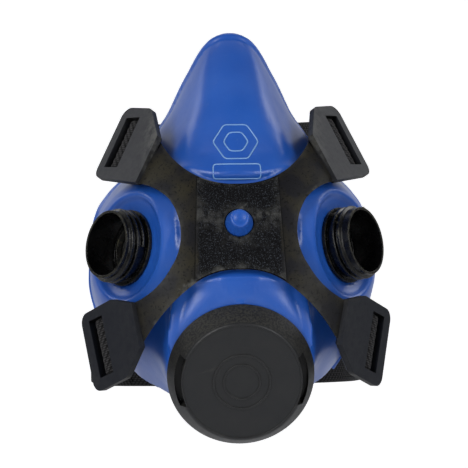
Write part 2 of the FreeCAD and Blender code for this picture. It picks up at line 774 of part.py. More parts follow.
def strap_loops(level, place):
    """The sewn ends of one strap, folded round the bars in its two pads."""
    fold = mm("web_thick") + mm("web_clear")
    top = -mm("bar_recess") + fold
    outer = box_about(mm("web_wide") / 2, mm("bar_wide") / 2 + fold, -mm("loop_tail"), top)
    room_low = -mm("bar_recess") - mm("bar_thick") - mm("web_clear")
    room = box_about(mm("web_wide"), mm("bar_wide") / 2 + mm("web_clear"), room_low,
                     top - mm("web_thick"))
    for word, loop in both_sides(outer.cut(room), place):
        shaped("strap_loop_%s_%s" % (level, word), loop)


def shaped(label, shape):
    part = doc.addObject("Part::Feature", label + "_shape")
    part.Shape = shape
    return keep(part, label)


def facepiece_shape():
    outer = cup_solid(0.0)
    outer = outer.fuse(collar())
    for side in (-1, 1):
        outer = outer.fuse(socket_boss(side))
    outer = outer.cut(behind_edge(0.0))
    cavity = cup_solid(mm("cup_wall")).cut(behind_edge(mm("cup_wall")))
    outer = outer.cut(cavity)
    opening = cup_section(0, mm("cup_half_width") * mm("seal_lip_scale"),
                          mm("cup_top") * mm("seal_lip_scale"), mm("cup_bottom") * mm("seal_lip_scale"))
    opening = Part.Face(opening).extrude(Vector(0, 40, 0))
    opening.translate(Vector(0, -28, 0))
    outer = outer.cut(opening).cut(collar_bore())
    for side in (-1, 1):
        outer = outer.cut(port_room(side)).cut(port_hole(side))
    clear = 0.15
    yoke_room = yoke_band(-40.0, 40.0 + mm("yoke_sheet") + clear).common(through_y(yoke_outline()))
    return outer.cut(yoke_room).fuse(stud())


def check_parts():
    doc.recompute()
    for thing in doc.Objects:
        if "Invalid" in thing.State or "Error" in thing.State:
            raise RuntimeError("%s did not compute" % thing.Label)
    for part in PARTS:
        if part.Shape.isNull() or not part.Shape.isValid() or not part.Shape.Solids:
            raise RuntimeError("%s has no valid solid" % part.Label)


SIDES = (("right", -1), ("left", 1))

for word, side in SIDES:
    filter_socket("filter_socket_" + word, side)
    ring_nut("ring_nut_" + word, side)
    valve_spider("inhalation_seat_" + word, side)
    inhalation_flap("inhalation_flap_" + word, side)
exhalation_seat()
exhalation_flap()
exhalation_cover()
shaped("yoke", yoke_shape())
shaped("facepiece", facepiece_shape())
for level, _, _, place in SLOTS:
    strap_loops(level, place)
head_strap()
neck_strap("neck_strap_left", 1)
neck_strap("neck_strap_right", -1)
clasp_half("clasp_hook", -1, True)
clasp_half("clasp_catch", 1, False)
check_parts()

os.makedirs("parts", exist_ok=True)
for part in PARTS:
    print(part.Label, len(part.Shape.Solids), round(part.Shape.Volume, 1))
    part.Shape.exportStep("parts/%s.step" % part.Label)
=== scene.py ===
import json
import math

import bpy
import numpy as np
from mathutils import Matrix, Vector


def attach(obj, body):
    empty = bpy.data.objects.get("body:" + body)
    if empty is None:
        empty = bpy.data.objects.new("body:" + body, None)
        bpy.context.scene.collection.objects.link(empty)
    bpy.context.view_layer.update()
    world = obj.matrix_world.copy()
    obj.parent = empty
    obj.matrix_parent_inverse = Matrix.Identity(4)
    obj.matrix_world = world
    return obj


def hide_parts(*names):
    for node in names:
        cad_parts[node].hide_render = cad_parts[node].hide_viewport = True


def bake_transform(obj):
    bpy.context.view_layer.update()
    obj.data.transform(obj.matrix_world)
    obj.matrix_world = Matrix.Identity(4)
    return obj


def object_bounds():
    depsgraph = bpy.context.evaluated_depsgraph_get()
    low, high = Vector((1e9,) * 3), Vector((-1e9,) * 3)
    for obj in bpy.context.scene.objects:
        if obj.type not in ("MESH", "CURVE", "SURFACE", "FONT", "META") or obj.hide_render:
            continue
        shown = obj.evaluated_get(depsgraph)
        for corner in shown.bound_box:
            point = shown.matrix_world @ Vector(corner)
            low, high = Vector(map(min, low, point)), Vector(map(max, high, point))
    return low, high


# A twin-filter half mask in a plain studio. Shapes are worked out in millimetres and put into
# Blender in metres. Front is -Y, +X is the wearer's left, +Z is up.

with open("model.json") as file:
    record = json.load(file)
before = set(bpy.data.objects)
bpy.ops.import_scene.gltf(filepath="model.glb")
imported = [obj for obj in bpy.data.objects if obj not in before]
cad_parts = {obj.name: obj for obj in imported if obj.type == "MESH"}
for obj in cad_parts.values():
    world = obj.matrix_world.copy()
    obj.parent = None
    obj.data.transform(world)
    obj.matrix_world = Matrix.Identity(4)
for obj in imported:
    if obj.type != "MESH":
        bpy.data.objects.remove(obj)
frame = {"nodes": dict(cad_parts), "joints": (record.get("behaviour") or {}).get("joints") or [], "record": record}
CAD_LOW, CAD_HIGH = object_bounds()
NODES = frame["nodes"]
MOUNTS = {mount["name"]: mount for mount in frame["record"]["mounts"]}
JOINTS = {joint["name"]: joint for joint in frame["joints"]}
MM = 0.001

# ---------------------------------------------------------------- places read from the frame


def node_points(name):
    """The vertices of a CAD node, in millimetres."""
    mesh = NODES[name].data
    flat = np.zeros(len(mesh.vertices) * 3, np.float32)
    mesh.vertices.foreach_get("co", flat)
    return flat.reshape(-1, 3).astype(float) / MM


def unit(vector):
    vector = np.asarray(vector, float)
    return vector / np.linalg.norm(vector)


def turned_frame(name, axis):
    """For a turned part: a point on its centre line, and where it starts along the axis."""
    points = node_points(name)
    across = unit(np.cross(axis, (0.0, 0.0, 1.0)))
    upward = np.cross(across, axis)
    middle = [(values.min() + values.max()) / 2 for values in (points @ across, points @ upward)]
    return across * middle[0] + upward * middle[1], (points @ axis).min()


SOCKET_AXIS = unit(MOUNTS["filter_socket_left"]["axis"])
SOCKET_CENTRE = np.array(MOUNTS["filter_socket_left"]["pos_m"]) / MM
SOCKET_BORE_DEPTH = MOUNTS["filter_socket_left"]["dims"]["length_mm"]
SOCKET_MOUTH = SOCKET_CENTRE + SOCKET_AXIS * SOCKET_BORE_DEPTH / 2
VENT_AXIS = unit(JOINTS["cover_pull"]["axis"])
COVER_SKIRT = 2.0  # how far the cover reaches back over the collar's rim
vent_line, cover_low = turned_frame("exhalation_cover", VENT_AXIS)
VENT_BASE = vent_line + VENT_AXIS * (cover_low + COVER_SKIRT)

# ---------------------------------------------------------------- implicit shapes


def smooth_min(first, second, blend):
    """The lower of two values, rounded over where they are closer than the blend."""
    near = np.maximum(blend - np.abs(first - second), 0.0) / blend
    return np.minimum(first, second) - near * near * blend / 4


def smooth_max(first, second, blend):
    return -smooth_min(-first, -second, blend)


def catmull(knots, values, at):
    """A smooth curve through the knots, with flat ends, read at many places."""
    knots, values = np.asarray(knots, float), np.asarray(values, float)
    slopes = np.zeros_like(values)
    slopes[1:-1] = (values[2:] - values[:-2]) / (knots[2:] - knots[:-2])
    slot = np.clip(np.searchsorted(knots, at) - 1, 0, len(knots) - 2)
    width = knots[slot + 1] - knots[slot]
    t = np.clip((at - knots[slot]) / width, 0.0, 1.0)
    t2, t3 = t * t, t * t * t
    return ((2 * t3 - 3 * t2 + 1) * values[slot] + (t3 - 2 * t2 + t) * width * slopes[slot]
            + (3 * t2 - 2 * t3) * values[slot + 1] + (t3 - t2) * width * slopes[slot + 1])


def along_and_radius(points, origin, axis):
    """Distance along an axis and radius from it."""
    offset = points - origin
    along = offset @ axis
    radial = offset - along[:, None] * axis
    return along, np.sqrt((radial * radial).sum(1))


def surface_nets(field, low, step):
    """Vertices and quads of the zero surface of a grid of signed values (negative is solid)."""
    solid = field < 0
    corner_steps = np.array([(i, j, k) for i in (0, 1) for j in (0, 1) for k in (0, 1)])
    shape = np.array(field.shape) - 1
    count = np.zeros(shape, np.int8)
    for i, j, k in corner_steps:
        count += solid[i:i + shape[0], j:j + shape[1], k:k + shape[2]]
    cells = np.argwhere((count > 0) & (count < 8))
    index = np.full(shape, -1, np.int32)
    index[tuple(cells.T)] = np.arange(len(cells))
    values = np.stack([field[tuple((cells + step3).T)] for step3 in corner_steps], 1)
    total, crossings = np.zeros((len(cells), 3)), np.zeros(len(cells))
    for first in range(8):
        for second in range(first + 1, 8):
            if np.abs(corner_steps[first] - corner_steps[second]).sum() != 1:
                continue
            a, b = values[:, first], values[:, second]
            hit = (a < 0) != (b < 0)
            t = np.where(hit, a / np.where(hit, a - b, 1.0), 0.0)[:, None]
            place = corner_steps[first] * (1 - t) + corner_steps[second] * t
            total += np.where(hit[:, None], place, 0.0)
            crossings += hit
    vertices = low + step * (cells + total / crossings[:, None])
    quads = []
    for axis in range(3):
        u, v = (axis + 1) % 3, (axis + 2) % 3
        first = np.moveaxis(solid, axis, 0)[:-1]
        second = np.moveaxis(solid, axis, 0)[1:]
        crossing = np.moveaxis(first != second, 0, axis)
        starts = np.argwhere(crossing)
        starts = starts[(starts[:, u] > 0) & (starts[:, v] > 0)]
        starts = starts[(starts[:, u] < shape[u]) & (starts[:, v] < shape[v])]
        du, dv = np.eye(3, dtype=int)[u], np.eye(3, dtype=int)[v]
        ring = [starts - du - dv, starts - dv, starts, starts - du]
        faces = np.stack([index[tuple(corner.T)] for corner in ring], 1)
        inward = ~solid[tuple(starts.T)]
        faces[inward] = faces[inward][:, ::-1]
        quads.append(faces)
    return vertices, np.concatenate(quads)


def gradient(shape, points, reach=0.05):
    """Central differences of an implicit shape."""
    slopes = np.zeros_like(points)
    for axis in range(3):
        offset = np.zeros(3)
        offset[axis] = reach
        slopes[:, axis] = (shape(points + offset) - shape(points - offset)) / (2 * reach)
    return slopes


LEAST_SLOPE_SQUARED = 0.04


def settle(shape, points, rounds=3, limit=0.4):
    """Moves points onto the zero surface of an implicit shape, by at most the limit a round."""
    for _ in range(rounds):
        slopes = gradient(shape, points)
        size = np.maximum((slopes * slopes).sum(1), LEAST_SLOPE_SQUARED)
        move = shape(points)[:, None] * slopes / size[:, None]
        length = np.maximum(np.sqrt((move * move).sum(1)), 1e-9)
        points = points - move * np.minimum(1.0, limit / length)[:, None]
    return points


def sample_grid(shape, low, high, step):
    """An implicit shape read on a grid, in slabs so that memory stays small."""
    axes = [np.arange(a, b + step, step) for a, b in zip(low, high)]
    field = np.empty([len(axis) for axis in axes], np.float32)
    for row, x in enumerate(axes[0]):
        y, z = np.meshgrid(axes[1], axes[2], indexing="ij")
        points = np.stack([np.full(y.size, x), y.ravel(), z.ravel()], 1)
        field[row] = shape(points).reshape(y.shape)
    return field


def mesh_object(name, vertices, faces):
    """A smooth-shaded mesh object from millimetre vertices and equal-sided faces."""
    mesh = bpy.data.meshes.new(name)
    faces = np.asarray(faces, np.int32)
    sides = faces.shape[1]
    mesh.vertices.add(len(vertices))
    mesh.vertices.foreach_set("co", (np.asarray(vertices) * MM).astype(np.float32).ravel())
    mesh.loops.add(faces.size)
    mesh.loops.foreach_set("vertex_index", faces.ravel())
    mesh.polygons.add(len(faces))
    mesh.polygons.foreach_set("loop_start", np.arange(0, faces.size, sides, dtype=np.int32))
    mesh.update(calc_edges=True)
    mesh.validate()
    mesh.polygons.foreach_set("use_smooth", np.ones(len(mesh.polygons), bool))
    thing = bpy.data.objects.new(name, mesh)
    bpy.context.scene.collection.objects.link(thing)
    return thing


def implicit_object(name, shape, low, high, step):
    """A mesh object of an implicit shape's surface inside a box."""
    low, high = np.array(low, float), np.array(high, float)
    vertices, quads = surface_nets(sample_grid(shape, low, high, step), low, step)
    return mesh_object(name, settle(shape, vertices, limit=step * 0.5), quads)


# ---------------------------------------------------------------- facepiece

WAIST = -16.0  # height where the upper and lower halves of the outline meet
HALF_WIDTH, TOP, BOTTOM = 53.0, 73.4, 63.2
WALL = 2.6
# Half of the cup's outline, from the nose to the chin: x, z.
OUTLINE = ((0.0, 73.4), (6.6, 70.4), (14.8, 57.2), (23.0, 42.0), (37.0, 21.5), (45.2, 13.6),
           (48.8, 8.5), (53.0, -16.0), (50.9, -28.0), (36.4, -49.0), (23.4, -58.4), (0.0, -63.2))
# How the outline shrinks forward: distance ahead of the seal, half width, top, bottom.
STATIONS = ((-8.0, 53.0, 73.4, 63.2), (0.0, 53.0, 73.4, 63.2), (14.0, 52.6, 73.4, 62.8),
            (28.0, 48.2, 58.5, 59.0), (41.0, 40.5, 43.5, 54.0), (53.0, 29.5, 23.5, 46.0),
            (60.0, 20.0, 8.0, 39.0), (63.0, 12.0, -4.0, 31.0), (64.8, 2.0, -14.0, 19.0))
# Side view of the rear edge: height, and distance ahead of the seal plane.
REAR_EDGE = ((-90.0, 19.0), (-66.0, 10.0), (-50.0, 3.0), (-30.0, 0.0), (15.0, 0.0), (48.0, 4.0),
             (76.0, 14.0), (100.0, 21.0))
# Nose ridge in side view: height, and distance ahead of the seal plane.
RIDGE = ((-20.0, 66.2), (-12.0, 65.3), (4.0, 59.8), (17.5, 54.4), (34.0, 46.6), (50.0, 35.4),
         (60.4, 26.0), (69.0, 17.8), (76.0, 10.5), (88.0, -4.0))
# The flat flank beside the ridge, its crown, and where the ridge ends below.
FLANK_POINT = np.array((18.2, -48.0, 28.6))
FLANK_NORMAL = unit((0.811, -0.345, 0.472))
RIDGE_CROWN, RIDGE_FOOT = 0.010, 2.0
SIDE_SCALE_LIMIT = 40.0


def outline_radius(angle):
    """Radius of the outline in the cup's own stretched coordinates; angle 0 is the nose."""
    reach = []
    for x, z in OUTLINE:
        stretch = (TOP - WAIST) if z > WAIST else (BOTTOM + WAIST)
        reach.append((x / HALF_WIDTH, (z - WAIST) / stretch))
    angles = [math.atan2(x, z) for x, z in reach]
    radii = [math.hypot(x, z) for x, z in reach]
    return catmull(angles, radii, np.abs(angle))


def gauge(x, z, half_width, top, bottom):
    """1 on the outline with those extents, less inside."""
    across = x / half_width
    stretch = np.where(z > WAIST, top - WAIST, bottom + WAIST)
    upward = (z - WAIST) / stretch
    return np.hypot(across, upward) / outline_radius(np.arctan2(across, upward))


def cup_form(points):
    """Rough signed value of the plain cup: negative inside."""
    ahead = -points[:, 1]
    knots = [row[0] for row in STATIONS]
    half_width, top, bottom = [catmull(knots, [row[i] for row in STATIONS], ahead) for i in (1, 2, 3)]
    size = gauge(points[:, 0], points[:, 2], half_width, top, bottom)
    sides = (size - 1.0) * np.minimum(half_width, SIDE_SCALE_LIMIT)
    return np.maximum(sides, ahead - STATIONS[-1][0])


def levelled(shape, points):
    """An implicit shape divided by its slope, so that it reads about true millimetres."""
    slopes = gradient(shape, points, 0.2)
    return shape(points) / np.maximum(np.sqrt((slopes * slopes).sum(1)), 0.25)


def nose_wedge(points):
    """The nose ridge: a crowned front between two flat flanks."""
    x, y, z = np.abs(points[:, 0]), points[:, 1], points[:, 2]
    ahead = catmull([row[0] for row in RIDGE], [row[1] for row in RIDGE], z)
    crown = RIDGE_CROWN * x * x
    front = (-y - ahead + crown) * 0.8
    side = np.stack([x, y, z], 1) @ FLANK_NORMAL - FLANK_POINT @ FLANK_NORMAL
    wedge = smooth_max(front, side, 5.0)
    wedge = smooth_max(wedge, beyond_outline(x, z) + 0.4, 3.0)
    return smooth_max(wedge, -(z - RIDGE_FOOT), 8.0)


# Yoke sheet, needed here because the cup is seated against its back.
YOKE_FRONT, YOKE_SHEET = 69.0, 2.4
YOKE_SIDE = ((-62.0, -2.3), (-44.0, -2.3), (-26.0, -2.3), (-12.0, 0.0), (0.0, 4.3), (14.0, 9.4),
             (24.0, 15.7), (38.0, 26.6), (54.0, 41.0))
PANEL_HALF, SHOULDER_RADIUS, SHOULDER_ANGLE = 15.0, 30.0, math.radians(52.0)
# The boss behind the panel: half width, bottom and top heights, and where it ends behind.
SEAT_HALF, SEAT_LOW, SEAT_HIGH, SEAT_BACK = 19.0, -14.0, 22.0, -40.0


def yoke_back(x, z):
    """Where the back of the yoke sheet lies in Y."""
    behind = catmull([row[0] for row in YOKE_SIDE], [row[1] for row in YOKE_SIDE], z)
    over = np.maximum(np.abs(x) - PANEL_HALF, 0.0)
    turn = SHOULDER_RADIUS * math.sin(SHOULDER_ANGLE)
    arc = SHOULDER_RADIUS - np.sqrt(np.maximum(SHOULDER_RADIUS ** 2 - np.minimum(over, turn) ** 2, 0))
    wing = np.maximum(over - turn, 0.0) * math.tan(SHOULDER_ANGLE)
    return -YOKE_FRONT + YOKE_SHEET + behind + arc + wing


def front_seat(points):
    """The flat-topped boss that carries the yoke's centre panel."""
    x, y, z = points.T
    height = (yoke_back(x, z) + 0.1 - y) * 0.9
    edge = np.maximum(np.abs(x) - SEAT_HALF, np.maximum(z - SEAT_HIGH, SEAT_LOW - z))
    return smooth_max(smooth_max(height, edge * 0.8, 4.0), y - SEAT_BACK, 4.0)


def ports(points):
    """Distance in from the socket's mouth plane and radius, with both sides folded into one."""
    folded = points.copy()
    folded[:, 0] = np.abs(folded[:, 0])
    along, radius = along_and_radius(folded, SOCKET_MOUTH, SOCKET_AXIS)
    return -along, radius


# Ports: depths are in from the socket's mouth, and the other sizes are radii.
FLANGE_DEPTH, FLANGE_GAP, PORT_WALL, PORT_REACH = 10.0, 0.25, 3.2, 34.0
NECK, NUT_ROOM, WASHER, FLANGE, FLANGE_ROOM = 12.6, 17.4, 17.0, 13.9, 0.5
SHOULDER, SHOULDER_DEPTH, SHOULDER_SPREAD, SHOULDER_REACH = 21.3, 6.9, 0.90, 36.0
DISH, DISH_SLOPE, DISH_REACH = 18.6, 0.22, 6.0
PORT_SHIFT = unit((-0.604, -0.797, 0.0)) * 2.7
# Exhalation collar, with its swelling all round the top and the taller brow above it.
COLLAR_RADIUS, COLLAR_BORE, COLLAR_LENGTH, COLLAR_BORE_LENGTH = 25.3, 19.5, 60.0, 46.0
COLLAR_BULGE, BULGE_RUN, BULGE_FADE = 2.2, 14.0, 40.0
COLLAR_BROW, BROW_RUN, BROW_FADE = 8.6, 6.5, 36.0
# How softly each form runs into the ones before it.
NOSE_BLEND, PORT_BLEND, SEAT_BLEND, DISH_BLEND, SHEET_BLEND, COLLAR_BLEND = 6.0, 7.0, 6.0, 1.8, 0.8, 9.0
# Room between the cup and the yoke sheet, and how fast it opens outside the yoke's outline.
YOKE_GAP, YOKE_FLARE = 0.12, 1.3


def port_shape(points):
    """The raised shoulder round a socket, and the shallow dish sunk in it round the barrel."""
    folded = np.stack([np.abs(points[:, 0]), points[:, 1], points[:, 2]], 1)
    along, radius = along_and_radius(folded, SOCKET_MOUTH + PORT_SHIFT, SOCKET_AXIS)
    depth = -along
    shoulder = (radius - (SHOULDER + (depth - SHOULDER_DEPTH) * SHOULDER_SPREAD)) * 0.76
    shoulder = smooth_max(shoulder, SHOULDER_DEPTH - depth, 5.0)
    floor = FLANGE_DEPTH - DISH_SLOPE * np.maximum(radius - FLANGE, 0.0)
    dish = smooth_max(depth - floor, (radius - DISH) * 0.8, 1.6)
    return np.maximum(shoulder, depth - SHOULDER_REACH), np.maximum(dish, -depth - DISH_REACH)


def yoke_room(points):
    """Positive in the room that the yoke sheet takes, which flares away outside its outline."""
    outside = np.maximum(-under_yoke(points[:, 0], points[:, 2]), 0.0)
    back = yoke_back(points[:, 0], points[:, 2])
    return (back + YOKE_GAP - points[:, 1] - YOKE_FLARE * outside) * 0.7


def quarter_round(share):
    """Rises from 0 to 1 like a quarter circle."""
    return np.sqrt(1 - (1 - np.clip(share, 0.0, 1.0)) ** 2)


def facepiece_outside(points):
    """The cup's outside with its collar, and the same without the collar."""
    shoulder, dish = port_shape(points)
    room = yoke_room(points)
    body = smooth_min(levelled(cup_form, points), nose_wedge(points), NOSE_BLEND)
    body = smooth_min(body, shoulder, PORT_BLEND)
    body = smooth_min(body, front_seat(points), SEAT_BLEND)
    body = smooth_max(body, -dish, DISH_BLEND)
    body = smooth_max(body, room, SHEET_BLEND)
    along, around = along_and_radius(points, VENT_BASE, VENT_AXIS)
    height = points[:, 2] - VENT_BASE[2]
    bulge = COLLAR_BULGE * quarter_round(-along / BULGE_RUN) * np.clip(0.5 + height / BULGE_FADE, 0.0, 1.0)
    brow = COLLAR_BROW * quarter_round(-along / BROW_RUN) * np.clip(height / BROW_FADE, 0.0, 1.0) ** 1.5
    bulge = bulge + brow
    collar = smooth_max((around - COLLAR_RADIUS - bulge) * 0.9, along, 2.6)
    collar = np.maximum(collar, -along - COLLAR_LENGTH)
    return smooth_max(smooth_min(body, collar, COLLAR_BLEND), room, SHEET_BLEND), body


def rear_edge(z):
    return -catmull([row[0] for row in REAR_EDGE], [row[1] for row in REAR_EDGE], z)


STUD_FOOT = np.array((0.0, -64.4, 3.8))
STUD_LEAN = unit((0.0, -math.cos(math.radians(20)), math.sin(math.radians(20))))
STUD_RISE, STUD_ROOT, STUD_RADIUS, STUD_TIP, STUD_TAPER = 5.0, 9.0, 4.85, 3.0, 0.35
STUD_DISH_CENTRE, STUD_DISH = 5.6, 6.2


def stud(points):
    """The round stud that buttons the yoke on, with a dished top."""
    along, radius = along_and_radius(points, STUD_FOOT, STUD_LEAN)
    side = radius - np.clip(STUD_RADIUS - along * STUD_TAPER, STUD_TIP, STUD_RADIUS)
    body = smooth_max(side * 0.94, along - STUD_RISE, 1.0)
    dish = np.sqrt(radius ** 2 + (along - STUD_RISE - STUD_DISH_CENTRE) ** 2) - STUD_DISH
    return np.maximum(smooth_max(body, -dish, 0.5), -along - STUD_ROOT)


# The opening for the face, as a share of the outline, and how far in its straight edge goes.
OPENING_SHARE, OPENING_SCALE, OPENING_DEPTH = 0.77, 44.0, 9.0
# The bead on the rear rim: how far ahead of it, half its flat, how far off the wall, and radius.
BEAD_AHEAD, BEAD_FLAT, BEAD_OUT, BEAD_RADIUS = 1.5, 0.4, 0.1, 1.15


def facepiece(points):
    """The finished cup: outside, rim bead, hollow, ports and collar bore."""
    y, z = points[:, 1], points[:, 2]
    whole, body = facepiece_outside(points)
    rear = y - rear_edge(z)
    inside = smooth_max(body + WALL, rear + WALL, 2.5)
    opening = (gauge(points[:, 0], z, HALF_WIDTH, TOP, BOTTOM) - OPENING_SHARE) * OPENING_SCALE
    opening = np.maximum(opening, -rear - OPENING_DEPTH)
    hollow = smooth_min(inside, opening, 2.0)
    lengthwise = np.maximum(np.abs(rear + BEAD_AHEAD) - BEAD_FLAT, 0.0)
    bead = np.hypot(lengthwise, body - BEAD_OUT) - BEAD_RADIUS
    shell = smooth_min(smooth_max(whole, rear, 1.6), bead, 1.2)
    shell = smooth_max(shell, -hollow, 1.4)
    depth, radius = ports(points)
    washer = np.abs(depth - FLANGE_DEPTH - PORT_WALL / 2 - FLANGE_GAP) - PORT_WALL / 2
    shell = np.minimum(shell, np.maximum(washer, radius - WASHER))
    nut_room = np.maximum(radius - NUT_ROOM, FLANGE_DEPTH + PORT_WALL + FLANGE_GAP - depth)
    shell = np.maximum(shell, -np.maximum(nut_room, depth - PORT_REACH))
    outside = np.maximum(radius - FLANGE - FLANGE_ROOM, depth - FLANGE_DEPTH - FLANGE_GAP)
    shell = np.maximum(shell, -outside)
    shell = np.maximum(shell, -np.maximum(radius - NECK, depth - PORT_REACH))
    along, around = along_and_radius(points, VENT_BASE, VENT_AXIS)
    bore = np.maximum(around - COLLAR_BORE, -along - COLLAR_BORE_LENGTH)
    return smooth_max(shell, -bore, 1.0)


def arc_points(start, through, end, count=9):
    """Points along the circle arc through three 2-D points."""
    (ax, ay), (bx, by), (cx, cy) = start, through, end
    d = 2 * (ax * (by - cy) + bx * (cy - ay) + cx * (ay - by))
    a2, b2, c2 = ax * ax + ay * ay, bx * bx + by * by, cx * cx + cy * cy
    ux = (a2 * (by - cy) + b2 * (cy - ay) + c2 * (ay - by)) / d
    uy = (a2 * (cx - bx) + b2 * (ax - cx) + c2 * (bx - ax)) / d
    first, middle, last = [math.atan2(py - uy, px - ux) for px, py in (start, through, end)]
    middle = first + (middle - first + math.pi) % (2 * math.pi) - math.pi
    last = first + (last - first + math.pi) % (2 * math.pi) - math.pi
    if (middle - first) * (last - first) < 0:
        last += 2 * math.pi * (1 if middle > first else -1)
    radius = math.hypot(ax - ux, ay - uy)
    turns = np.linspace(first, last, count)
    return [(ux + radius * math.cos(t), uy + radius * math.sin(t)) for t in turns]


# Right half of the yoke's front view, as arcs (start, through, end); straight lines join them.
YOKE_ARCS = (((0.0, 17.6), (9.4, 18.7), (18.0, 22.8)), ((18.0, 22.8), (23.8, 28.4), (27.9, 35.6)),
             ((36.4, 18.4), (29.8, 16.6), (24.2, 12.4)), ((24.2, 12.4), (20.4, 1.5), (24.0, -11.5)),
             ((24.0, -11.5), (29.0, -18.2), (36.8, -23.8)),
             ((34.8, -39.4), (26.6, -27.0), (16.0, -17.2)), ((16.0, -17.2), (8.4, -13.5), (0.0, -12.6)))
YOKE_HALF = [point for arc in YOKE_ARCS for point in arc_points(*arc)]


def polygon_distance(x, z, corners):
    """Signed distance to a closed polygon, negative inside."""
    best = np.full(x.shape, 1e9)
    inside = np.zeros(x.shape, bool)
    for (ax, az), (bx, bz) in zip(corners, corners[1:] + corners[:1]):
        ex, ez = bx - ax, bz - az
        if ex * ex + ez * ez < 1e-9:
            continue
        t = np.clip(((x - ax) * ex + (z - az) * ez) / (ex * ex + ez * ez), 0, 1)
        best = np.minimum(best, (x - ax - t * ex) ** 2 + (z - az - t * ez) ** 2)
        crosses = ((az > z) != (bz > z)) & (x < (bx - ax) * (z - az) / (bz - az + 1e-12) + ax)
        inside ^= crosses
    return np.where(inside, -1, 1) * np.sqrt(best)


class FlatMap:
    """A function of x and z kept as a table, mirrored about x = 0 and read with smooth steps."""

    def __init__(self, function, x_max, z_low, z_high, step):
        self.low, self.step = z_low, step
        xs, zs = np.arange(0, x_max, step), np.arange(z_low, z_high, step)
        grid_x, grid_z = np.meshgrid(xs, zs, indexing="ij")
        self.table = function(grid_x, grid_z)

    def __call__(self, x, z):
        u = np.clip(np.abs(x) / self.step, 0, self.table.shape[0] - 1.001)
        v = np.clip((z - self.low) / self.step, 0, self.table.shape[1] - 1.001)
        i, j = u.astype(int), v.astype(int)
        fu, fv = u - i, v - j
        t = self.table
        return ((t[i, j] * (1 - fu) + t[i + 1, j] * fu) * (1 - fv)
                + (t[i, j + 1] * (1 - fu) + t[i + 1, j + 1] * fu) * fv)


def depth_inside_yoke(x, z):
    """How far inside the yoke's front outline a place is, with a small margin."""
    closed = YOKE_HALF + [(-30.0, -12.6), (-30.0, 17.6)]
    return 0.8 - polygon_distance(x, z, closed)


def outside_cup_outline(x, z):
    """Distance outside the cup's outline in front view."""
    turns = np.linspace(0.0, 2 * math.pi, 181)[:-1]
    reach = outline_radius(np.arctan2(np.sin(turns), np.cos(turns)))
    upward = reach * np.cos(turns)
    stretch = np.where(upward > 0, TOP - WAIST, BOTTOM + WAIST)
    corners = list(zip(reach * np.sin(turns) * HALF_WIDTH, WAIST + upward * stretch))
    return polygon_distance(x, z, corners)


under_yoke = FlatMap(depth_inside_yoke, 70.0, -90.0, 100.0, 0.5)
beyond_outline = FlatMap(outside_cup_outline, 70.0, -90.0, 100.0, 0.5)


CUP_STEP, STUD_STEP = 0.85, 0.3  # grid steps of the meshes


def build_facepiece():
    shell = implicit_object("facepiece_shell", facepiece, (-60, -90, -76), (60, 6, 82), CUP_STEP)
    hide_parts("facepiece")
    button = implicit_object("yoke_stud", stud, STUD_FOOT - (7, 8, 8), STUD_FOOT + (7, 10, 8), STUD_STEP)
    paint = rubber_paint()
    for thing in (shell, button):
        thing.data.materials.append(paint)
        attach(thing, "root")


# ---------------------------------------------------------------- materials

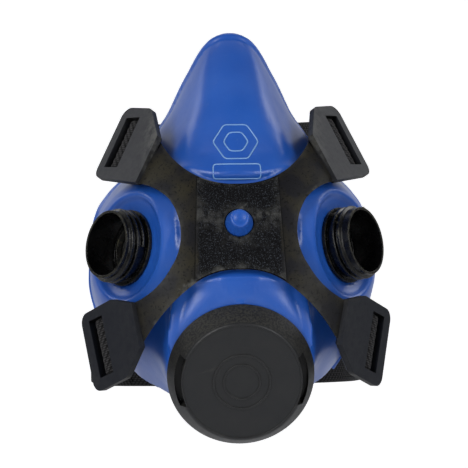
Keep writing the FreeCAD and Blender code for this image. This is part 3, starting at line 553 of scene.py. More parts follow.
class Paint:
    """A node material built up round one Principled shader."""

    def __init__(self, name):
        self.material = bpy.data.materials.new(name)
        self.material.use_nodes = True
        self.tree = self.material.node_tree
        self.shader = self.tree.nodes["Principled BSDF"]
        self.place = self.add("ShaderNodeTexCoord").outputs["Object"]
        self.normal = None

    def add(self, kind, inputs=None, **settings):
        node = self.tree.nodes.new(kind)
        for key, value in settings.items():
            setattr(node, key, value)
        for key, value in (inputs or {}).items():
            self.feed(node.inputs[key], value)
        return node

    def feed(self, socket, value):
        if isinstance(value, bpy.types.NodeSocket):
            self.tree.links.new(value, socket)
        elif isinstance(value, tuple) and len(value) == 3 and socket.type == "RGBA":
            socket.default_value = (*value, 1.0)
        else:
            socket.default_value = value

    def set(self, **inputs):
        for key, value in inputs.items():
            self.feed(self.shader.inputs[key.replace("_", " ")], value)

    def noise(self, grain_mm, detail=3.0):
        """Soft noise whose blotches are about that many millimetres across."""
        node = self.add("ShaderNodeTexNoise", {
            "Vector": self.place, "Scale": 1.0 / (grain_mm * MM), "Detail": detail})
        return node.outputs[0]

    def cells(self, grain_mm):
        node = self.add("ShaderNodeTexVoronoi", {"Vector": self.place, "Scale": 1.0 / (grain_mm * MM)})
        return node.outputs["Distance"]

    def spread(self, value, from_low, from_high, to_low=0.0, to_high=1.0):
        node = self.add("ShaderNodeMapRange", {
            "Value": value, "From Min": from_low, "From Max": from_high, "To Min": to_low,
            "To Max": to_high})
        return node.outputs["Result"]

    def calc(self, operation, first, second=0.0):
        return self.add("ShaderNodeMath", {0: first, 1: second}, operation=operation).outputs[0]

    def mix(self, share, first, second):
        node = self.add("ShaderNodeMix", {0: share, 6: first, 7: second}, data_type="RGBA")
        return node.outputs[2]

    def axes(self, source=None):
        return self.add("ShaderNodeSeparateXYZ", {0: source or self.place}).outputs

    def bump(self, height, depth_mm):
        node = self.add("ShaderNodeBump", {"Height": height, "Distance": depth_mm * MM, "Strength": 1.0})
        if self.normal is not None:
            self.feed(node.inputs["Normal"], self.normal)
        self.normal = node.outputs[0]
        self.set(Normal=self.normal)

    def crevice_shade(self, tone, reach_mm, shade_tone):
        """The tone, darkened towards a deeper one in corners and crevices where shade falls: painted shade."""
        node = self.add("ShaderNodeAmbientOcclusion", {"Distance": reach_mm * MM}, samples=6)
        open_share = self.spread(node.outputs["AO"], 0.35, 0.95)
        return self.mix(open_share, shade_tone, tone)

    def edges(self, low=0.52, high=0.62):
        """1 along convex edges, broken up by noise: wear, and a painted highlight where light catches an edge."""
        sharp = self.spread(self.add("ShaderNodeNewGeometry").outputs["Pointiness"], low, high)
        return self.calc("MULTIPLY", sharp, self.spread(self.noise(2.5), 0.35, 0.6))

    def towards(self, vector, direction):
        """How far a vector reaches along a direction, with both sides folded into one."""
        total = self.calc("MULTIPLY", self.calc("ABSOLUTE", vector[0]), float(direction[0]))
        for axis in (1, 2):
            total = self.calc("ADD", total, self.calc("MULTIPLY", vector[axis], float(direction[axis])))
        return total

    def facing(self):
        """The surface's own normal, as three values."""
        return self.axes(self.add("ShaderNodeNewGeometry").outputs["True Normal"])


def rubber_paint(name="blue_rubber", dust_and_highlight_tone=(0.14, 0.24, 0.48), dust_and_highlight_share=None):
    """Glossy blue elastomer, a little uneven in tone, with fine moulding ripple and dust; a given share instead
    lightens it all towards the lighter tone, as a painted highlight.
    """
    paint = Paint(name)
    cloud = paint.spread(paint.noise(26.0), 0.3, 0.7)
    tone = paint.mix(cloud, (0.010, 0.072, 0.36), (0.016, 0.095, 0.43))
    if dust_and_highlight_share is None:
        dust_and_highlight_share = paint.spread(paint.noise(0.9, 6.0), 0.62, 0.75, 0.0, 0.10)
    paint.set(Base_Color=paint.mix(dust_and_highlight_share, tone, dust_and_highlight_tone))
    cloudy = paint.spread(paint.noise(11.0, 4.0), 0.3, 0.7, 0.30, 0.42)
    paint.set(Roughness=cloudy, Specular_IOR_Level=0.42, Coat_Weight=0.12, Coat_Roughness=0.22)
    paint.set(Subsurface_Weight=0.05, Subsurface_Radius=(0.2, 0.5, 1.0), Subsurface_Scale=0.002)
    paint.bump(paint.noise(7.0, 2.0), 0.10)
    paint.bump(paint.noise(0.5, 2.0), 0.006)
    return paint.material


def pad_frame(pad):
    """A strap pad's slot centre, outward face normal, and the slot's length direction."""
    normal, along = unit(pad["normal"]), np.array(pad["along"])
    return np.array(pad["slot"]), normal, unit(along - normal * (along @ normal))


def pad_tone(paint, tone, pad, reach_mm, half):
    """Share and tones that turn one pair of strap pads smooth and bluish, as a painted reflection, with painted
    shade on their side walls.
    """
    normal = unit(pad["normal"])
    outward = unit(np.cross(unit(pad["along"]), normal))
    start = (np.array(pad["slot"]) @ outward - reach_mm) * MM
    place = paint.axes()
    beyond = paint.spread(paint.towards(place, outward), start - 0.2 * MM, start + 0.2 * MM)
    height = paint.spread(paint.calc("MULTIPLY", place[2], half), 0.010, 0.012)
    # Painted shade: side walls that turn away from the pad's face go near black. Painted reflection: the pad faces
    # get a smooth bluish tone.
    flat = paint.spread(paint.towards(paint.facing(), normal), 0.55, 0.9)
    speck = paint.spread(paint.noise(0.45, 3.0), 0.60, 0.72)
    smooth = paint.mix(speck, (0.0055, 0.0068, 0.0115), (0.0095, 0.0110, 0.0170))
    return paint.calc("MULTIPLY", beyond, height), tone, paint.mix(flat, (0.001, 0.001, 0.0015), smooth)


def yoke_paint():
    """Moulded black plastic: pebbled centre panel with pale flecks painted as glints, finer pitted grain with a
    warm cast on the arms.
    """
    paint = Paint("yoke_grain")
    x, _, z = paint.axes()
    across = paint.spread(paint.calc("ABSOLUTE", x), 14.0 * MM, 15.0 * MM, 1.0, 0.0)
    above = paint.spread(z, -18.5 * MM, -17.5 * MM)
    panel = paint.calc("MULTIPLY", across, above)
    cloud = paint.spread(paint.noise(9.0), 0.42, 0.66)
    warm = paint.mix(cloud, (0.006, 0.006, 0.008), (0.020, 0.0175, 0.010))
    pits = paint.spread(paint.noise(0.85, 2.0), 0.34, 0.42)
    arm_tone = paint.mix(pits, (0.001, 0.001, 0.001), warm)
    # Painted glints: pale flecks scattered over the panel's grain.
    glint_fleck = paint.spread(paint.noise(0.36, 3.0), 0.56, 0.66)
    panel_tone = paint.mix(glint_fleck, (0.0004, 0.0004, 0.0008), (0.040, 0.045, 0.055))
    tone = paint.mix(panel, arm_tone, panel_tone)
    for pad, reach, half in ((UPPER_PAD, 19.5, 1), (LOWER_PAD, 21.9, -1)):
        tone = paint.mix(*pad_tone(paint, tone, pad, reach, half))
    # Painted shade: corners and crevices are darkened towards black.
    tone = paint.crevice_shade(tone, 2.5, (0.0, 0.0, 0.0))
    arms = paint.spread(paint.calc("ABSOLUTE", x), 28.0 * MM, 34.0 * MM, 1.0, 0.12)
    # Wear and painted highlight: convex edges on the arms and panel are painted lighter.
    edge_wear_and_highlight = paint.calc("MULTIPLY", paint.edges(0.51, 0.57), arms)
    paint.set(Base_Color=paint.mix(edge_wear_and_highlight, tone, (0.070, 0.070, 0.066)))
    paint.set(Roughness=paint.spread(paint.noise(1.0, 4.0), 0.3, 0.7, 0.49, 0.55))
    inward = paint.spread(paint.calc("ABSOLUTE", x), 15.0 * MM, 30.0 * MM, 0.12, 0.26)
    paint.set(Specular_IOR_Level=paint.calc("MULTIPLY", inward, paint.spread(panel, 0.0, 1.0, 1.0, 0.8)))
    coarse = paint.calc("MULTIPLY", paint.noise(0.75, 3.0), panel)
    paint.bump(coarse, 0.34)
    paint.bump(paint.calc("MULTIPLY", pits, arms), 0.03)
    paint.bump(paint.calc("MULTIPLY", paint.noise(0.30, 2.0), arms), 0.035)
    return paint.material


def moulded_paint(name, dark, light, roughness, grain_mm, grain_depth, edge_wear_and_highlight, face_axis=None):
    """Plain moulded plastic: two close tones, satin grain, and edges painted lighter, as wear and as a highlight.

    With a face axis, surfaces that turn away from it and upwards get a coarser, paler tone: a painted sheen from
    the lights above.
    """
    paint = Paint(name)
    tone = paint.mix(paint.spread(paint.noise(8.0, 4.0), 0.35, 0.65), dark, light)
    if face_axis is not None:
        # Painted sheen: upward-facing flanks turned away from the face axis are painted paler and grainy.
        surface = paint.facing()
        painted_sheen = paint.spread(paint.towards(surface, face_axis), 0.55, 0.9, 1.0, 0.0)
        painted_sheen = paint.calc("MULTIPLY", painted_sheen, paint.spread(surface[2], -0.25, 0.35))
        grain = paint.spread(paint.noise(0.7), 0.4, 0.6)
        tone = paint.mix(painted_sheen, tone, paint.mix(grain, (0.010, 0.010, 0.011), (0.034, 0.033, 0.028)))
    # Painted shade: corners and crevices are darkened towards black.
    tone = paint.crevice_shade(tone, 2.5, (0.0, 0.0, 0.0))
    # Wear and painted highlight: convex edges are painted lighter.
    paint.set(Base_Color=paint.mix(paint.edges(), tone, edge_wear_and_highlight))
    low, high = roughness
    paint.set(Roughness=paint.spread(paint.noise(3.0, 4.0), 0.3, 0.7, low, high), Specular_IOR_Level=0.38)
    paint.bump(paint.noise(grain_mm, 3.0), grain_depth)
    return paint.material


def silicone_paint():
    """Soft translucent valve silicone with a faint bloom."""
    paint = Paint("valve_silicone_sheet")
    bloom = paint.spread(paint.noise(3.0, 4.0), 0.35, 0.65)
    paint.set(Base_Color=paint.mix(bloom, (0.16, 0.16, 0.17), (0.24, 0.24, 0.25)), Roughness=0.42,
              Sheen_Weight=0.2, Subsurface_Weight=0.15, Subsurface_Scale=0.001)
    paint.bump(paint.noise(0.4, 2.0), 0.01)
    return paint.material


def webbing_paint():
    """Black woven elastic: crossing threads in the webbing's own coordinates, with painted shade in the grooves
    and painted light on the crests, and fuzz.
    """
    paint = Paint("woven_elastic")
    flat = paint.add("ShaderNodeUVMap", uv_map="weave").outputs[0]
    along, across, _ = paint.axes(flat)

    def ridges(value, pitch_mm):
        turns = paint.calc("MULTIPLY", value, 2 * math.pi / pitch_mm)
        return paint.calc("ABSOLUTE", paint.calc("SINE", paint.calc("MULTIPLY", turns, 0.5)))

    wales = ridges(across, 0.80)
    picks = ridges(along, 0.55)
    twill = ridges(paint.calc("ADD", along, paint.calc("MULTIPLY", across, RIB_SLANT)), RIB_PITCH)
    threads = paint.calc("MULTIPLY", wales, paint.calc("ADD", paint.calc("MULTIPLY", picks, 0.6), 0.4))
    # Painted shade and light: grooves between threads and twill ribs go dark, their crests lighter.
    shade = paint.calc("MULTIPLY", threads, paint.spread(twill, 0.25, 0.9, 0.05, 1.0))
    tone = paint.mix(shade, (0.0003, 0.0003, 0.0006), (0.050, 0.048, 0.050))
    fluff = paint.spread(paint.noise(0.35, 5.0), 0.60, 0.72, 0.0, 0.2)
    paint.set(Base_Color=paint.mix(fluff, tone, (0.06, 0.06, 0.065)), Roughness=0.82)
    paint.set(Sheen_Weight=0.08, Sheen_Roughness=0.5, Specular_IOR_Level=0.15)
    paint.bump(threads, 0.12)
    return paint.material


def thread_paint():
    """Twisted polyester sewing thread."""
    paint = Paint("sewing_thread")
    strands = paint.cells(0.25)
    paint.set(Base_Color=paint.mix(strands, (0.012, 0.012, 0.014), (0.05, 0.05, 0.055)), Roughness=0.6)
    paint.bump(strands, 0.05)
    return paint.material


def floor_paint():
    """Matt white studio sweep with a very slight mottle."""
    paint = Paint("floor_pale")
    tone = paint.mix(paint.noise(300.0), (0.90, 0.90, 0.905), (0.94, 0.94, 0.945))
    ray = paint.add("ShaderNodeLightPath").outputs
    behind = paint.spread(paint.axes()[1], 0.3, 1.0, 0.0, 0.5)
    mirrored_share = paint.calc("MULTIPLY", ray["Is Glossy Ray"], behind)
    seen = paint.calc("MAXIMUM", ray["Is Camera Ray"], mirrored_share)
    paint.set(Base_Color=tone, Roughness=0.85, Emission_Color=(1.0, 1.0, 1.0))
    paint.set(Emission_Strength=paint.calc("MULTIPLY", seen, 0.76))
    return paint.material


# ---------------------------------------------------------------- hard parts kept from the frame

def modifier(thing, kind, **settings):
    step = thing.modifiers.new(kind.lower(), kind)
    for key, value in settings.items():
        setattr(step, key, value)


def finish_node(name, material, rounding_mm):
    """Gives a CAD part its material, and softens its edges without touching its mesh."""
    node = NODES[name]
    node.data.materials.clear()
    node.data.materials.append(material)
    node.data.polygons.foreach_set("use_smooth", np.ones(len(node.data.polygons), bool))
    modifier(node, "WELD", merge_threshold=2e-6)
    modifier(node, "DECIMATE", decimate_type="DISSOLVE", angle_limit=math.radians(0.6))
    modifier(node, "BEVEL", width=rounding_mm * MM, segments=2, limit_method="ANGLE",
             angle_limit=math.radians(32))
    modifier(node, "WEIGHTED_NORMAL", mode="FACE_AREA", keep_sharp=False)


def finish_hard_parts():
    # The last tone of each is its edge colour: wear, and a painted highlight.
    socket = moulded_paint("socket_black", (0.001, 0.001, 0.0015), (0.003, 0.003, 0.003), (0.20, 0.34),
                           0.5, 0.012, (0.075, 0.070, 0.045))
    valve = moulded_paint("valve_black", (0.006, 0.006, 0.007), (0.012, 0.012, 0.013), (0.40, 0.55),
                          0.4, 0.015, (0.05, 0.05, 0.05))
    cover = moulded_paint("cover_satin", (0.0060, 0.0068, 0.0085), (0.0085, 0.0090, 0.0100), (0.42, 0.50),
                          0.35, 0.030, (0.020, 0.020, 0.019), VENT_AXIS)
    clasp = moulded_paint("clasp_gloss", (0.003, 0.003, 0.004), (0.007, 0.007, 0.008), (0.22, 0.34),
                          0.6, 0.012, (0.05, 0.05, 0.05))
    silicone = silicone_paint()
    finish_node("yoke", yoke_paint(), 0.35)
    finish_node("exhalation_cover", cover, 0.3)
    finish_node("exhalation_seat", valve, 0.2)
    finish_node("exhalation_flap", silicone, 0.15)
    for side in ("left", "right"):
        finish_node("filter_socket_" + side, socket, 0.22)
        finish_node("ring_nut_" + side, socket, 0.3)
        finish_node("inhalation_seat_" + side, valve, 0.15)
        finish_node("inhalation_flap_" + side, silicone, 0.12)
    for half in ("clasp_hook", "clasp_catch"):
        finish_node(half, clasp, 0.4)


# ---------------------------------------------------------------- webbing

WEB_WIDE, WEB_THICK = 20.0, 1.2
RIB_PITCH, RIB_HEIGHT, RIB_SLANT, RIB_EDGE = 2.3, 0.30, 0.9, 0.86
# The selvages, as shares of the half width: where the edge rounds off, and the cord's place and width.
ROUND_FROM, ROUND_WIDE, CORD_AT, CORD_WIDE, CORD_RISE = 0.94, 0.06, 0.9, 0.05, 0.10
LAYER = WEB_THICK / 2 + 0.03  # from the middle of a doubled strap to the middle of one layer
BAR_BACK = -6.5
SEWN, TAIL, OPENS_OVER = 14.0, 17.0, 10.0
STITCH_PITCH, STITCH_EDGE = 2.4, 2.6
PATH_SPACING, RIBBON_SPACING, RIBBON_COLUMNS = 0.5, 0.45, 44
# Round a pad's bar, about the slot's centre: (towards the pad's outer edge, out of its face).
BAR_WRAP = ((-1.5, -5.3), (-2.2, -4.0), (-2.25, -2.4), (-2.0, -1.4), (-1.3, -1.05), (0.0, -1.0),
            (1.3, -1.05), (2.0, -1.4), (2.25, -2.4), (2.2, -4.0), (1.5, -5.3))
# Round the clasp's outer bar, about the clasp's centre: (away from the middle, backwards).
CLASP_WRAP = ((17.6, 0.7), (15.6, 2.4), (13.4, 2.8), (11.4, 2.75), (10.45, 1.8), (10.4, 0.0),
              (10.45, -1.8), (11.4, -2.75), (13.4, -2.8), (15.6, -2.7), (18.0, -2.6))
UPPER_PAD = {"slot": (40.4, -30.2, 33.7), "normal": (0.688, -0.537, 0.489),
             "along": (-0.447, 0.310, 0.894)}
LOWER_PAD = {"slot": (48.6, -48.5, -39.7), "normal": (0.788, -0.616, 0.0),
             "along": (0.171, 0.278, 0.985)}
# A band runs straight back from its start, then round behind the head: half width and run.
HEAD_BAND = {"start": (0.0, -15.0, 33.7), "tilt": 2.2, "half": 40.6, "run": 73.0, "joins": 38.0}
NECK_BAND = {"start": (0.0, -32.0, -43.2), "tilt": -5.8, "half": 53.2, "run": 79.0, "joins": 27.0}
ARC_ROWS, DOUBLED_ROWS, DOUBLED_ANGLE = 90, 30, 0.36
CLASP_HALF, CLASP_REACH = 14.5, 24.0


def ease(value):
    value = np.clip(value, 0.0, 1.0)
    return value * value * (3 - 2 * value)


def spaced(points, spacing):
    """The same path with evenly spaced points."""
    points = np.asarray(points, float)
    lengths = np.concatenate([[0], np.cumsum(np.linalg.norm(np.diff(points[:, :3], axis=0), axis=1))])
    at = np.linspace(0, lengths[-1], max(int(lengths[-1] / spacing), 2) + 1)
    return np.stack([np.interp(at, lengths, column) for column in points.T], 1), at


def softened(rows):
    """Each row inside the path drawn towards its neighbours, twice."""
    for _ in range(2):
        rows = rows.copy()
        rows[1:-1] = rows[1:-1] * 0.5 + (rows[:-2] + rows[2:]) * 0.25
    return rows


def unit_rows(rows):
    return rows / np.linalg.norm(rows, axis=1)[:, None]


def band_point(band, x, along):
    tilt = math.radians(band["tilt"])
    start = np.array(band["start"])
    return start + np.array((x, along * math.cos(tilt), along * math.sin(tilt)))


def band_up(band):
    tilt = math.radians(band["tilt"])
    return np.array((0.0, -math.sin(tilt), math.cos(tilt)))


def lead_path(pad, band):
    """Middle line from behind a pad's bar to the start of the band, with its width direction."""
    slot, normal, along = pad_frame(pad)
    start = slot + normal * BAR_BACK
    end = band_point(band, band["half"], band["joins"])
    back = unit(band_point(band, 0, 1) - band_point(band, 0, 0))
    t = np.linspace(0, 1, 60)[:, None]
    curve = ((1 - t) ** 3 * start + 3 * t * (1 - t) ** 2 * (start - normal * 5.0)
             + 3 * t * t * (1 - t) * (end - back * 15.0) + t ** 3 * end)
    share = ease(t)
    width = unit_rows(along * (1 - share) + band_up(band) * share)
    return np.hstack([curve, width])


def offset_layer(rows, amount):
    """A path moved across its own face; amount may change along it."""
    tangent = unit_rows(np.gradient(rows[:, :3], axis=0))
    across = unit_rows(np.cross(tangent, rows[:, 3:]))
    moved = rows.copy()
    moved[:, :3] += across * np.reshape(amount, (-1, 1))
    return moved


def pad_wrap(pad):
    """The path round a pad's bar."""
    slot, normal, along = pad_frame(pad)
    outward = np.cross(along, normal)
    return np.array([np.concatenate([slot + outward * v + normal * n, along]) for v, n in BAR_WRAP])


def anchored_end(pad, band):
    """From the sewn-down tail, over the bar in a pad, and back to the band, on the wearer's left."""
    lead, at = spaced(lead_path(pad, band), PATH_SPACING)
    outer = offset_layer(lead, LAYER * (1 - ease((at - SEWN) / OPENS_OVER)))
    inner = offset_layer(lead, -LAYER * np.ones(len(at)))[at < TAIL]
    return np.vstack([inner[::-1], pad_wrap(pad), outer])


def mirrored_path(rows):
    """The same path on the other side; the order is kept."""
    return rows * np.array((-1, 1, 1, -1, 1, 1))


def band_arc(band, first, last, count=ARC_ROWS):
    """Round the back of the band between two angles from the wearer's left."""
    rows = []
    for angle in np.linspace(first, last, count):
        place = band_point(band, band["half"] * math.cos(angle),
                           band["run"] + band["half"] * math.sin(angle))
        rows.append(np.concatenate([place, band_up(band)]))
    return np.array(rows)


def head_path():
    end = anchored_end(UPPER_PAD, HEAD_BAND)
    return np.vstack([end, band_arc(HEAD_BAND, 0.0, math.pi), mirrored_path(end)[::-1]])


def neck_path():
    """The wearer's left half of the neck strap, from its pad to the clasp."""
    band = NECK_BAND
    reach = math.sqrt(band["half"] ** 2 - CLASP_HALF ** 2)
    last = math.acos(CLASP_REACH / band["half"])
    outer = offset_layer(band_arc(band, 0.0, last), LAYER * ease(np.linspace(-2.0, 1.0, ARC_ROWS)))
    wrap = []
    for x, back in CLASP_WRAP:
        place = band_point(band, x, band["run"] + reach + back)
        wrap.append(np.concatenate([place, band_up(band)]))
    doubled = band_arc(band, last, last - DOUBLED_ANGLE, DOUBLED_ROWS)
    inner = offset_layer(doubled, LAYER * np.ones(DOUBLED_ROWS))
    return np.vstack([anchored_end(LOWER_PAD, band), outer, np.array(wrap), inner])


def ribbon_mesh(path):
    """Woven webbing along a path: rounded selvages, diagonal ribs, and closed ends."""
    rows, at = spaced(path, RIBBON_SPACING)
    rows = softened(rows)
    tangent = unit_rows(np.gradient(rows[:, :3], axis=0))
    width = rows[:, 3:] - tangent * (tangent * rows[:, 3:]).sum(1)[:, None]
    width = unit_rows(width)
    face = np.cross(tangent, width)
    turns = np.linspace(-math.pi / 2, math.pi / 2, RIBBON_COLUMNS + 1) * 0.8
    across = np.sin(turns) / math.sin(0.4 * math.pi) * WEB_WIDE / 2
    edge = np.abs(across) / (WEB_WIDE / 2)
    rounding = np.sqrt(np.maximum(1 - np.maximum(edge - ROUND_FROM, 0) ** 2 / ROUND_WIDE ** 2, 0.0))
    selvage = CORD_RISE * np.exp(-((edge - CORD_AT) / CORD_WIDE) ** 2)
    vertices, flat = [], []
    for side in (1, -1):
        phase = 2 * math.pi * (at[:, None] + side * RIB_SLANT * across[None, :]) / RIB_PITCH
        rib = RIB_HEIGHT * (np.abs(np.sin(phase / 2)) - 0.6) * (edge < RIB_EDGE)
        height = side * (WEB_THICK / 2 * rounding + selvage * rounding + rib)
        spots = (rows[:, None, :3] + width[:, None, :] * across[None, :, None]
                 + face[:, None, :] * height[:, :, None])
        vertices.append(spots if side > 0 else spots[:, ::-1])
        coordinates = np.stack([np.repeat(at[:, None], RIBBON_COLUMNS + 1, 1),
                                np.repeat(across[None, :], len(at), 0)], 2)
        flat.append(coordinates if side > 0 else coordinates[:, ::-1])
    rings = np.concatenate(vertices, 1)
    flat = np.concatenate(flat, 1).reshape(-1, 2)
    count = rings.shape[1]
    start = np.arange(len(at) - 1)[:, None] * count
    ring = np.arange(count)[None, :]
    following = (ring + 1) % count
    faces = np.stack([start + ring, start + following, start + count + following,
                      start + count + ring], 2).reshape(-1, 4)
    caps = []
    for base, flip in ((0, False), ((len(at) - 1) * count, True)):
        for i in range(RIBBON_COLUMNS):
            cap = [base + i, base + count - 1 - i, base + count - 2 - i, base + i + 1]
            caps.append(cap[::-1] if flip else cap)
    return rings.reshape(-1, 3), np.vstack([faces, caps]), flat


def stitch_mesh(rows, at, first, last, side_reach, offset):
    """A sewn rectangle of thread stitches on one face of a path: box-like beads."""
    tangent = unit_rows(np.gradient(rows[:, :3], axis=0))
    width = unit_rows(rows[:, 3:])
    face = np.cross(tangent, width)
    spots = []
    for place in np.arange(first, last + 0.1, STITCH_PITCH):
        spots += [(place, -side_reach, 0.0), (place, side_reach, 0.0)]
    for across in np.arange(-side_reach + 2.2, side_reach - 2.0, STITCH_PITCH):
        spots += [(first - 0.6, across, 1.0), (last + 0.6, across, 1.0)]
    vertices, faces = [], []
    for place, across, turned in spots:
        i = int(np.argmin(np.abs(at - place)))
        centre = rows[i, :3] + width[i] * across + face[i] * offset
        run, beside = (width[i], tangent[i]) if turned else (tangent[i], width[i])
        base = len(vertices)
        for reach, size in ((-0.9, 0.10), (-0.55, 0.26), (0.55, 0.26), (0.9, 0.10)):
            for a, b in ((-1, -1), (1, -1), (1, 1), (-1, 1)):
                vertices.append(centre + run * reach + beside * a * size + face[i] * b * size)
        for ring in range(3):
            for corner in range(4):
                after = (corner + 1) % 4
                low, high = base + ring * 4, base + ring * 4 + 4
                faces.append([low + corner, low + after, high + after, high + corner])
        faces.append([base + 3, base + 2, base + 1, base])
        faces.append([base + 12, base + 13, base + 14, base + 15])
    return np.array(vertices), np.array(faces)


def pad_stitches(pad, band, mirror):
    """Both faces' stitches where the strap is sewn to its own tail behind a pad."""
    lead, at = spaced(lead_path(pad, band), PATH_SPACING)
    if mirror:
        lead = mirrored_path(lead)
    reach = WEB_WIDE / 2 - STITCH_EDGE
    depth = 2 * LAYER + 0.10
    return [stitch_mesh(lead, at, 2.5, SEWN - 1.5, reach, side * depth) for side in (1, -1)]


def build_webbing(name, path, sewing, body, zone, *nodes):
    """One piece of webbing with its stitches."""
    vertices, faces, flat = ribbon_mesh(path)
    woven = len(faces)
    for more, more_faces in sewing:
        faces = np.vstack([faces, more_faces + len(vertices)])
        vertices = np.vstack([vertices, more])
    flat = np.vstack([flat, np.zeros((len(vertices) - len(flat), 2))])
    thing = mesh_object(name, vertices, faces)
    layer = thing.data.uv_layers.new(name="weave")
    corner = np.zeros(len(thing.data.loops), np.int32)
    thing.data.loops.foreach_get("vertex_index", corner)
    layer.data.foreach_set("uv", flat[corner].astype(np.float32).ravel())
    thing.data.materials.append(WEBBING_PAINT)
    thing.data.materials.append(THREAD_PAINT)
    index = np.zeros(len(thing.data.polygons), np.int32)
    index[woven:] = 1
    thing.data.polygons.foreach_set("material_index", index)
    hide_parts(*nodes)
    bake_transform(thing)


WEBBING_PAINT = webbing_paint()
THREAD_PAINT = thread_paint()
# Two places on each webbing, between the mask and its band.
HEAD_ZONE = ((0.0, -27.0, 33.7), (0.0, 6.0, 33.7))
NECK_ZONE = ((0.0, -43.0, -41.0), (0.0, -8.0, -41.0))


def build_harness():
    head_sewing = pad_stitches(UPPER_PAD, HEAD_BAND, False) + pad_stitches(UPPER_PAD, HEAD_BAND, True)
    build_webbing("head_webbing", head_path(), head_sewing, "head_harness", HEAD_ZONE,
                  "head_strap", "strap_loop_upper_left", "strap_loop_upper_right")
    left = neck_path()
    build_webbing("neck_webbing_left", left, pad_stitches(LOWER_PAD, NECK_BAND, False), "neck_harness",
                  NECK_ZONE, "neck_strap_left", "strap_loop_lower_left")
    build_webbing("neck_webbing_right", mirrored_path(left), pad_stitches(LOWER_PAD, NECK_BAND, True),
                  "neck_harness", NECK_ZONE, "neck_strap_right", "strap_loop_lower_right")


# ---------------------------------------------------------------- raised lines on the nose

MARK_WIDTH, MARK_HEIGHT = 0.55, 0.22


def front_of(x, z):
    """The facepiece's front surface at a place seen from the front, and its outward normal."""
    depth = np.arange(-76.0, -16.0, 0.25)
    line = np.stack([np.full(len(depth), x), depth, np.full(len(depth), z)], 1)
    values = facepiece(line)
    first = int(np.argmax(values < 0))
    spot = settle(facepiece, line[first:first + 1], 4)
    normal = unit(gradient(facepiece, spot, 0.3)[0])
    return spot[0], normal


def softened_loop(rows):
    """Rows of a closed loop, each drawn towards its neighbours on both sides."""
    return rows * 0.5 + (np.roll(rows, 1, axis=0) + np.roll(rows, -1, axis=0)) * 0.25


def raised_line(corners, width, height):
    """A low rounded ridge on the facepiece, round a closed run of corners given as (x, z)."""
    path, _ = spaced(np.array([(x, 0.0, z) for x, z in corners + corners[:1]]), 0.7)
    spots, normals = [np.array(rows) for rows in zip(*[front_of(x, z) for x, _, z in path[:-1]])]
    for _ in range(2):
        spots, normals = softened_loop(spots), softened_loop(normals)
    normals = unit_rows(normals)
    tangent = unit_rows(np.roll(spots, -1, axis=0) - np.roll(spots, 1, axis=0))
    beside = unit_rows(np.cross(normals, tangent))
    section = ((-1.0, -0.3), (-0.75, 0.5), (0.0, 1.0), (0.75, 0.5), (1.0, -0.3), (0.0, -0.8))
    rings = [spots + beside * a * width / 2 + normals * b * height for a, b in section]
    vertices = np.stack(rings, 1).reshape(-1, 3)
    count = len(section)
    row, i = np.meshgrid(np.arange(len(spots)), np.arange(count), indexing="ij")
    after, row_after = (i + 1) % count, (row + 1) % len(spots)
    faces = np.stack([row * count + i, row * count + after, row_after * count + after,
                      row_after * count + i], 2).reshape(-1, 4)
    return vertices, faces


def build_nose_marks():
    """A plain plate and two plain hexagons, with no lettering, raised a little from the nose."""
    middle, inner_share = 32.8, 0.55
    turns = [math.radians(60 * i + 30) for i in range(6)]
    hexagon = [(8.2 * math.sin(turn), middle + 7.2 * math.cos(turn)) for turn in turns]
    inner = [(x * inner_share, middle + (z - middle) * inner_share) for x, z in hexagon]
    plate = [(-8.4, 19.4), (-8.4, 24.6), (8.4, 24.6), (8.4, 19.4)]
    vertices, faces = np.zeros((0, 3)), np.zeros((0, 4), int)
    for corners in (hexagon, inner, plate):
        more, more_faces = raised_line(corners, MARK_WIDTH, MARK_HEIGHT)
        faces = np.vstack([faces, more_faces + len(vertices)])
        vertices = np.vstack([vertices, more])
    thing = mesh_object("nose_marks", vertices, faces)
    # The raised lines are painted a lighter blue all over: a painted highlight on their crests.
    thing.data.materials.append(rubber_paint("raised_lines", (0.336, 0.576, 0.8), 0.5))
    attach(thing, "root")


# ---------------------------------------------------------------- studio

# The floor, in metres: how far below the mask, half size, and where it bends up into a backdrop.
FLOOR_DROP, FLOOR_REACH, BEND_FROM, BEND_RADIUS, BACKDROP_TOP = 0.17, 3.0, 1.2, 0.8, 3.0
# Soft lights: name, place in metres, size, power.
LIGHTS = (("key", (-0.62, -0.86, 0.42), (0.30, 0.80), 7.5),
          ("side", (0.66, -0.84, 0.40), (0.22, 0.80), 5.5),
          ("top", (0.0, 0.45, 1.0), (0.9, 0.4), 1.6),
          ("wing", (-0.84, 0.36, 0.55), (0.35, 0.5), 1.8),
          ("wing", (0.84, 0.36, 0.55), (0.35, 0.5), 1.8))


def build_studio():
    level = CAD_LOW.z - FLOOR_DROP
    profile = [(-FLOOR_REACH, 0.0), (BEND_FROM, 0.0)]
    for turn in range(1, 13):
        angle = math.radians(turn * 7.5)
        profile.append((BEND_FROM + BEND_RADIUS * math.sin(angle), BEND_RADIUS * (1 - math.cos(angle))))
    profile.append((BEND_FROM + BEND_RADIUS, BACKDROP_TOP))
    vertices = [(side * FLOOR_REACH / MM, y / MM, (level + z) / MM)
                for y, z in profile for side in (-1, 1)]
    faces = [(i, i + 1, i + 3, i + 2) for i in range(0, len(vertices) - 2, 2)]
    floor = mesh_object("floor", vertices, faces)
    floor.data.materials.append(floor_paint())


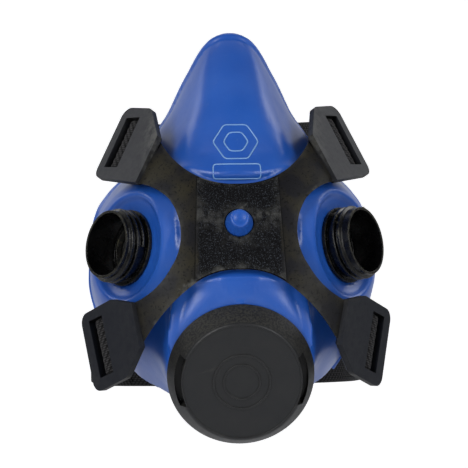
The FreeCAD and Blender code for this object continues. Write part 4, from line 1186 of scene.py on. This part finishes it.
def area_light(name, place, size, power):
    """A rectangular light that faces the middle of the mask."""
    data = bpy.data.lights.new(name, "AREA")
    data.shape = "RECTANGLE"
    data.size, data.size_y = size
    data.energy = power
    lamp = bpy.data.objects.new(name, data)
    lamp.location = place
    lamp.rotation_euler = (-Vector(place)).to_track_quat("-Z", "Y").to_euler()
    bpy.context.scene.collection.objects.link(lamp)


def build_world():
    """A dim grey surround that looks white to the camera."""
    world = bpy.data.worlds.new("studio")
    world.use_nodes = True
    nodes, links = world.node_tree.nodes, world.node_tree.links
    back = nodes["Background"]
    path = nodes.new("ShaderNodeLightPath")
    mix = nodes.new("ShaderNodeMixRGB")
    mix.inputs["Color1"].default_value = (0.10, 0.105, 0.115, 1.0)
    mix.inputs["Color2"].default_value = (1.0, 1.0, 1.0, 1.0)
    links.new(path.outputs["Is Camera Ray"], mix.inputs["Fac"])
    links.new(mix.outputs["Color"], back.inputs["Color"])
    bpy.context.scene.world = world


CAMERA_AZIMUTH, CAMERA_ROLL, CAMERA_DISTANCE, CAMERA_LENS = -3.0, -0.75, 0.7, 140.0
CAMERA_AIM = Vector((0.0015, 0.0, -0.0002))


def build_camera():
    """In front of the mask, slightly to the wearer's right, level, with a slight roll."""
    data = bpy.data.cameras.new("camera")
    data.lens, data.sensor_width = CAMERA_LENS, 36.0
    camera = bpy.data.objects.new("camera", data)
    turn = math.radians(CAMERA_AZIMUTH)
    place = Vector((math.sin(turn), -math.cos(turn), 0.0)) * CAMERA_DISTANCE
    camera.location = place + CAMERA_AIM
    roll = Matrix.Rotation(math.radians(CAMERA_ROLL), 3, "Z").to_quaternion()
    camera.rotation_mode = "QUATERNION"
    camera.rotation_quaternion = (-place).to_track_quat("-Z", "Y") @ roll
    bpy.context.scene.collection.objects.link(camera)
    bpy.context.scene.camera = camera


# ---------------------------------------------------------------- put together

build_facepiece()
build_nose_marks()
finish_hard_parts()
build_harness()
build_studio()
build_world()
build_camera()
for light in LIGHTS:
    area_light(*light)
bpy.context.scene.view_settings.view_transform = "Standard"
